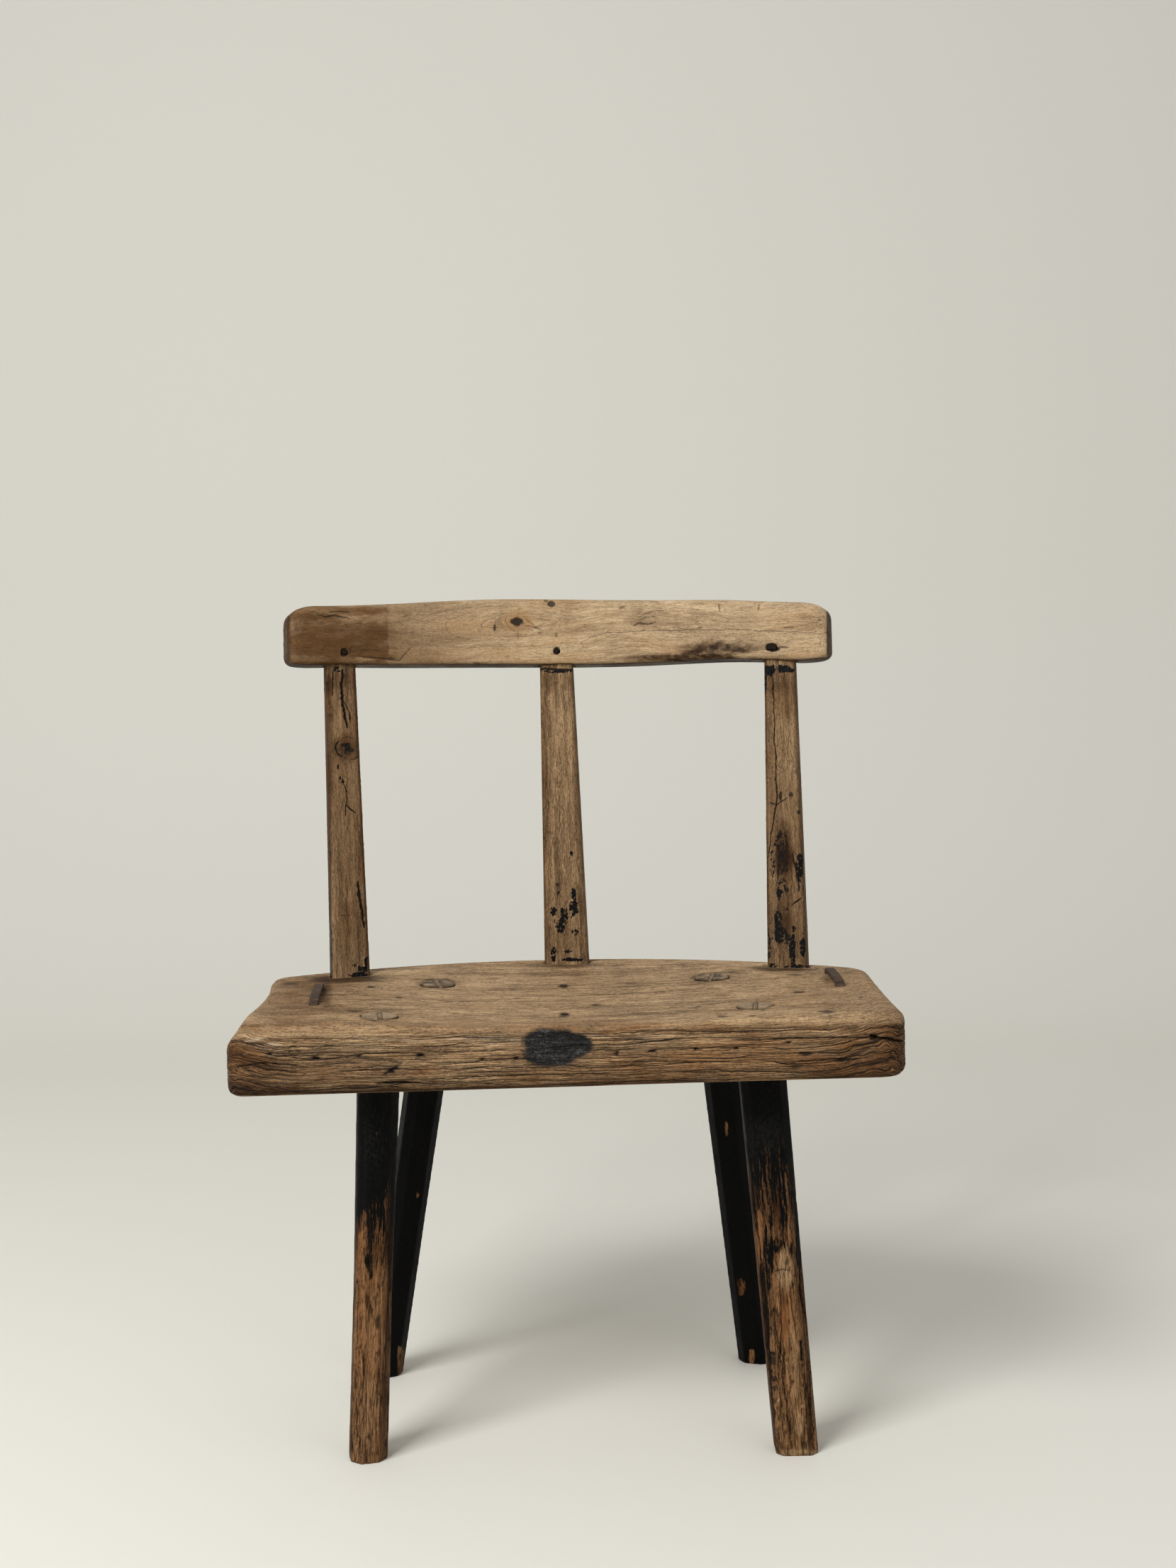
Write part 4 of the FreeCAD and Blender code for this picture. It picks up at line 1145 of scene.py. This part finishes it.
def make_leg(node):
    """A hewn leg: black paint above, bare and checked wood below."""
    fade_low, fade_high, check_depth, easing = LEG_WEAR[node]
    piece = fine_copy(node, voxel=1.5, easing=easing, level=False, below=TENON_START)
    split(piece, near_marks(LEG_CRACKS[node], 3.0))
    points, normals = arrays(piece.data)
    pixels = photo_pixels(points)
    shown = seen(points, normals)
    grain = leaning_grain(points)
    seed = int(abs(points[:, 0].mean() * 3 + points[:, 1].mean()))
    height = points[:, 2] / LEG_HEIGHT
    wander = layered(points / (14, 14, 40), seed, 2)
    bent = grain + np.outer(wander, (0, 1.4, 1.4))
    streaks = layered(grain / (70, 6, 6), seed + 7)
    side = smooth(np.hypot(normals[:, 0], normals[:, 1]), 0.5, 0.8)
    checks = splits(bent / (75, 6.5, 6.5), seed + 3, 0.07 + 0.03 * wander) * side

    paint = 1.5 * smooth(height + 0.06 * streaks, fade_low, fade_high)
    ragged = 0.5 * layered(grain / (12, 2.6, 2.6), seed + 11, 3)
    paint = np.maximum(paint, patches(pixels, LEG_PAINT[node], ragged) * shown)
    for *place, strength in LEG_BARE[node]:
        paint = paint * (1 - strength * spot(pixels, place, ragged) * shown)
    bare = 1 - smooth(paint, 0.4, 0.6)
    depth = (0.04 + 0.06 * layered(grain / (70, 14, 14), seed + 13)) * side
    depth += (0.03 + 0.10 * bare) * (1 + layered(bent / (20, 1.8, 1.8), seed + 17)) * side
    depth += check_depth * checks * (0.15 + 0.85 * bare)
    marked, cracked = drawn(points, shown, LEG_CRACKS[node], ())
    depth += marked
    dark = np.maximum(0.85 * checks * bare, cracked)

    stain_and_shade = 0.12 + 0.40 * layered(bent / (50, 9, 9), seed + 19)
    soot_and_shade = 0.06 + 0.30 * layered(bent / (30, 5, 5), seed + 21) + 0.6 * smooth(paint, 0.0, 0.45)
    # Side facets darker: partly painted shade, partly leftover paint.
    soot_and_shade += 0.45 * smooth(np.abs(normals[:, 0]), 0.55, 0.95)
    pale = np.zeros(len(points))
    for *place, strength in LEG_PALE[node]:
        patch = strength * spot(pixels, place, ragged) * shown
        pale = np.maximum(pale, patch)
        soot_and_shade = soot_and_shade * (1 - 0.8 * patch)
        stain_and_shade = stain_and_shade * (1 - 0.8 * patch)
    warm = patches(pixels, LEG_WARM[node], ragged, **STAIN_EDGE) * shown
    # Painted sheen on the front legs and painted shade on the rear legs
    *place, strength = LEG_SHEEN_AND_SHADE[node]
    rubbed = strength * spot(pixels, place, ragged, **STAIN_EDGE) * shown

    # The tenon's end on the seat is bare end grain, greyer on the rear legs
    top = smooth(points[:, 2], *TENON_TOP)
    body = 1 - top
    end = np.maximum(0.7 * smooth(-normals[:, 2], 0.7, 0.95), top)
    grey = 0.70 if node.startswith("rear") else 0.0
    blotches = smooth(layered(points / (8, 8, 8), seed + 23), -0.5, 0.3)
    dark = np.maximum(dark * body, grey * top * blotches)
    paint = np.where(top > 0.5, -0.5, paint - 0.1)
    dry = bare * (0.4 + 0.6 * smooth(wander, -0.2, 0.4)) * (1 - 0.7 * pale) * body
    grain = bent * body[:, None] + points[:, [0, 2, 1]] * top[:, None]
    looks = {"dark": dark, "stain_and_shade": stain_and_shade * body, "soot_and_shade": soot_and_shade * body, "end": end, "pale": pale}
    carve(piece, points, grain, depth, warm=warm, rubbed=rubbed, paint=paint, dry=dry, **looks)
    return piece


# Small pieces: the end of a node's name, voxel, easing, roughness, darkness
# and material slot

SMALL_PIECES = (
    ("_wedge", 0.8, 0, 0.0, 0.0, "tenon_wedge_wood"),
    ("_peg", 0.45, 2, 0.3, 1.0, "peg_wood"),
    ("_nail", 0.5, 1, 0.15, 0.6, "forged_iron"),
    ("_staple", 0.7, 2, 0.2, 0.0, "forged_iron"),
)


def make_small(node, voxel, easing, roughness, darkness):
    """A peg, wedge, nail or staple with an uneven, handmade surface."""
    piece = fine_copy(node, voxel, easing)
    points, _ = arrays(piece.data)
    seed = int(abs(points.mean() * 7))
    depth = roughness * (1 + layered(points / 3.0, seed))
    dark = darkness + 0.6 * smooth(layered(points / (2, 2, 9), seed + 3), 0.2, 0.6)
    carve(piece, points, points, depth, dark=np.clip(dark, 0, 1))
    return piece


def make_chair():
    """Every piece in the place of its node."""
    dress(make_seat(), "seat_plank", seat_wood())
    dress(make_crest(), "crest_rail", crest_wood())
    slats, legs, ends, metal = slat_wood(), leg_wood(), end_grain(), iron()
    for node in SLAT_TONES:
        dress(make_slat(node), node, slats)
    for node in LEG_WEAR:
        dress(make_leg(node), node, legs)
    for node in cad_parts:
        for ending, *shape, slot in SMALL_PIECES:
            if node.endswith(ending):
                material = metal if slot == "forged_iron" else ends
                dress(make_small(node, *shape), node, material)


# Studio, in metres: a lamp has its place, size and power

PAPER = (0.80, 0.785, 0.71)
FLOOR_FRONT, BEND_START, BEND_RADIUS = -4.0, 1.6, 0.9
BEND_STEPS = 12
BACKDROP_TOP = 4.0
HALF_WIDTH = 4.5
SKY = (0.99, 0.99, 1.0)
SKY_STRENGTH = 0.46
LAMPS = {
    "key_lamp": ((-1.5, -1.9, 2.5), 1.3, 80.0),
    "fill_lamp": ((2.0, -2.2, 1.4), 2.0, 8.0),
}
LAMP_AIM = Vector((0, 0, 0.4))


def make_floor():
    """A pale floor that curves up into a backdrop."""
    profile = [(FLOOR_FRONT, 0.0), (BEND_START, 0.0)]
    for step in range(1, BEND_STEPS + 1):
        angle = math.pi / 2 * step / BEND_STEPS
        out, up = BEND_RADIUS * math.sin(angle), BEND_RADIUS * (1 - math.cos(angle))
        profile.append((BEND_START + out, up))
    profile.append((BEND_START + BEND_RADIUS, BACKDROP_TOP))
    corners = [(x, y, z) for y, z in profile for x in (-HALF_WIDTH, HALF_WIDTH)]
    faces = [(2 * i, 2 * i + 1, 2 * i + 3, 2 * i + 2) for i in range(len(profile) - 1)]
    mesh = bpy.data.meshes.new("studio_floor")
    mesh.from_pydata(corners, [], faces)
    mesh.shade_smooth()
    paper = bpy.data.materials.new("studio_paper")
    paper.use_nodes = True
    shader = paper.node_tree.nodes["Principled BSDF"]
    shader.inputs["Base Color"].default_value = (*PAPER, 1)
    shader.inputs["Roughness"].default_value = 0.7
    mesh.materials.append(paper)
    add_object("studio_floor", mesh)


def make_studio():
    """The floor, soft light and the photograph's camera."""
    make_floor()
    world = bpy.data.worlds.new("studio")
    world.use_nodes = True
    sky = world.node_tree.nodes["Background"]
    sky.inputs["Color"].default_value = (*SKY, 1)
    sky.inputs["Strength"].default_value = SKY_STRENGTH
    bpy.context.scene.world = world

    for name, (place, size, power) in LAMPS.items():
        light = bpy.data.lights.new(name, "AREA")
        light.size = size
        light.energy = power
        lamp = add_object(name, light)
        lamp.location = place
        aim = LAMP_AIM - Vector(place)
        lamp.rotation_euler = aim.to_track_quat("-Z", "Y").to_euler()

    lens = bpy.data.cameras.new("photo_camera")
    lens.sensor_width = 36.0
    lens.lens = lens.sensor_width * FOCAL_PIXELS / PHOTO_SIZE[1]
    camera = add_object("photo_camera", lens)
    camera.matrix_world = (
        Matrix.Translation(Vector(CAMERA_PLACE) * MM)
        @ Matrix.Rotation(math.pi / 2 - CAMERA_PITCH, 4, "X")
        @ Matrix.Rotation(-CAMERA_ROLL, 4, "Z")
    )
    bpy.context.scene.camera = camera
    bpy.context.scene.view_settings.view_transform = "Standard"


make_chair()
make_studio()
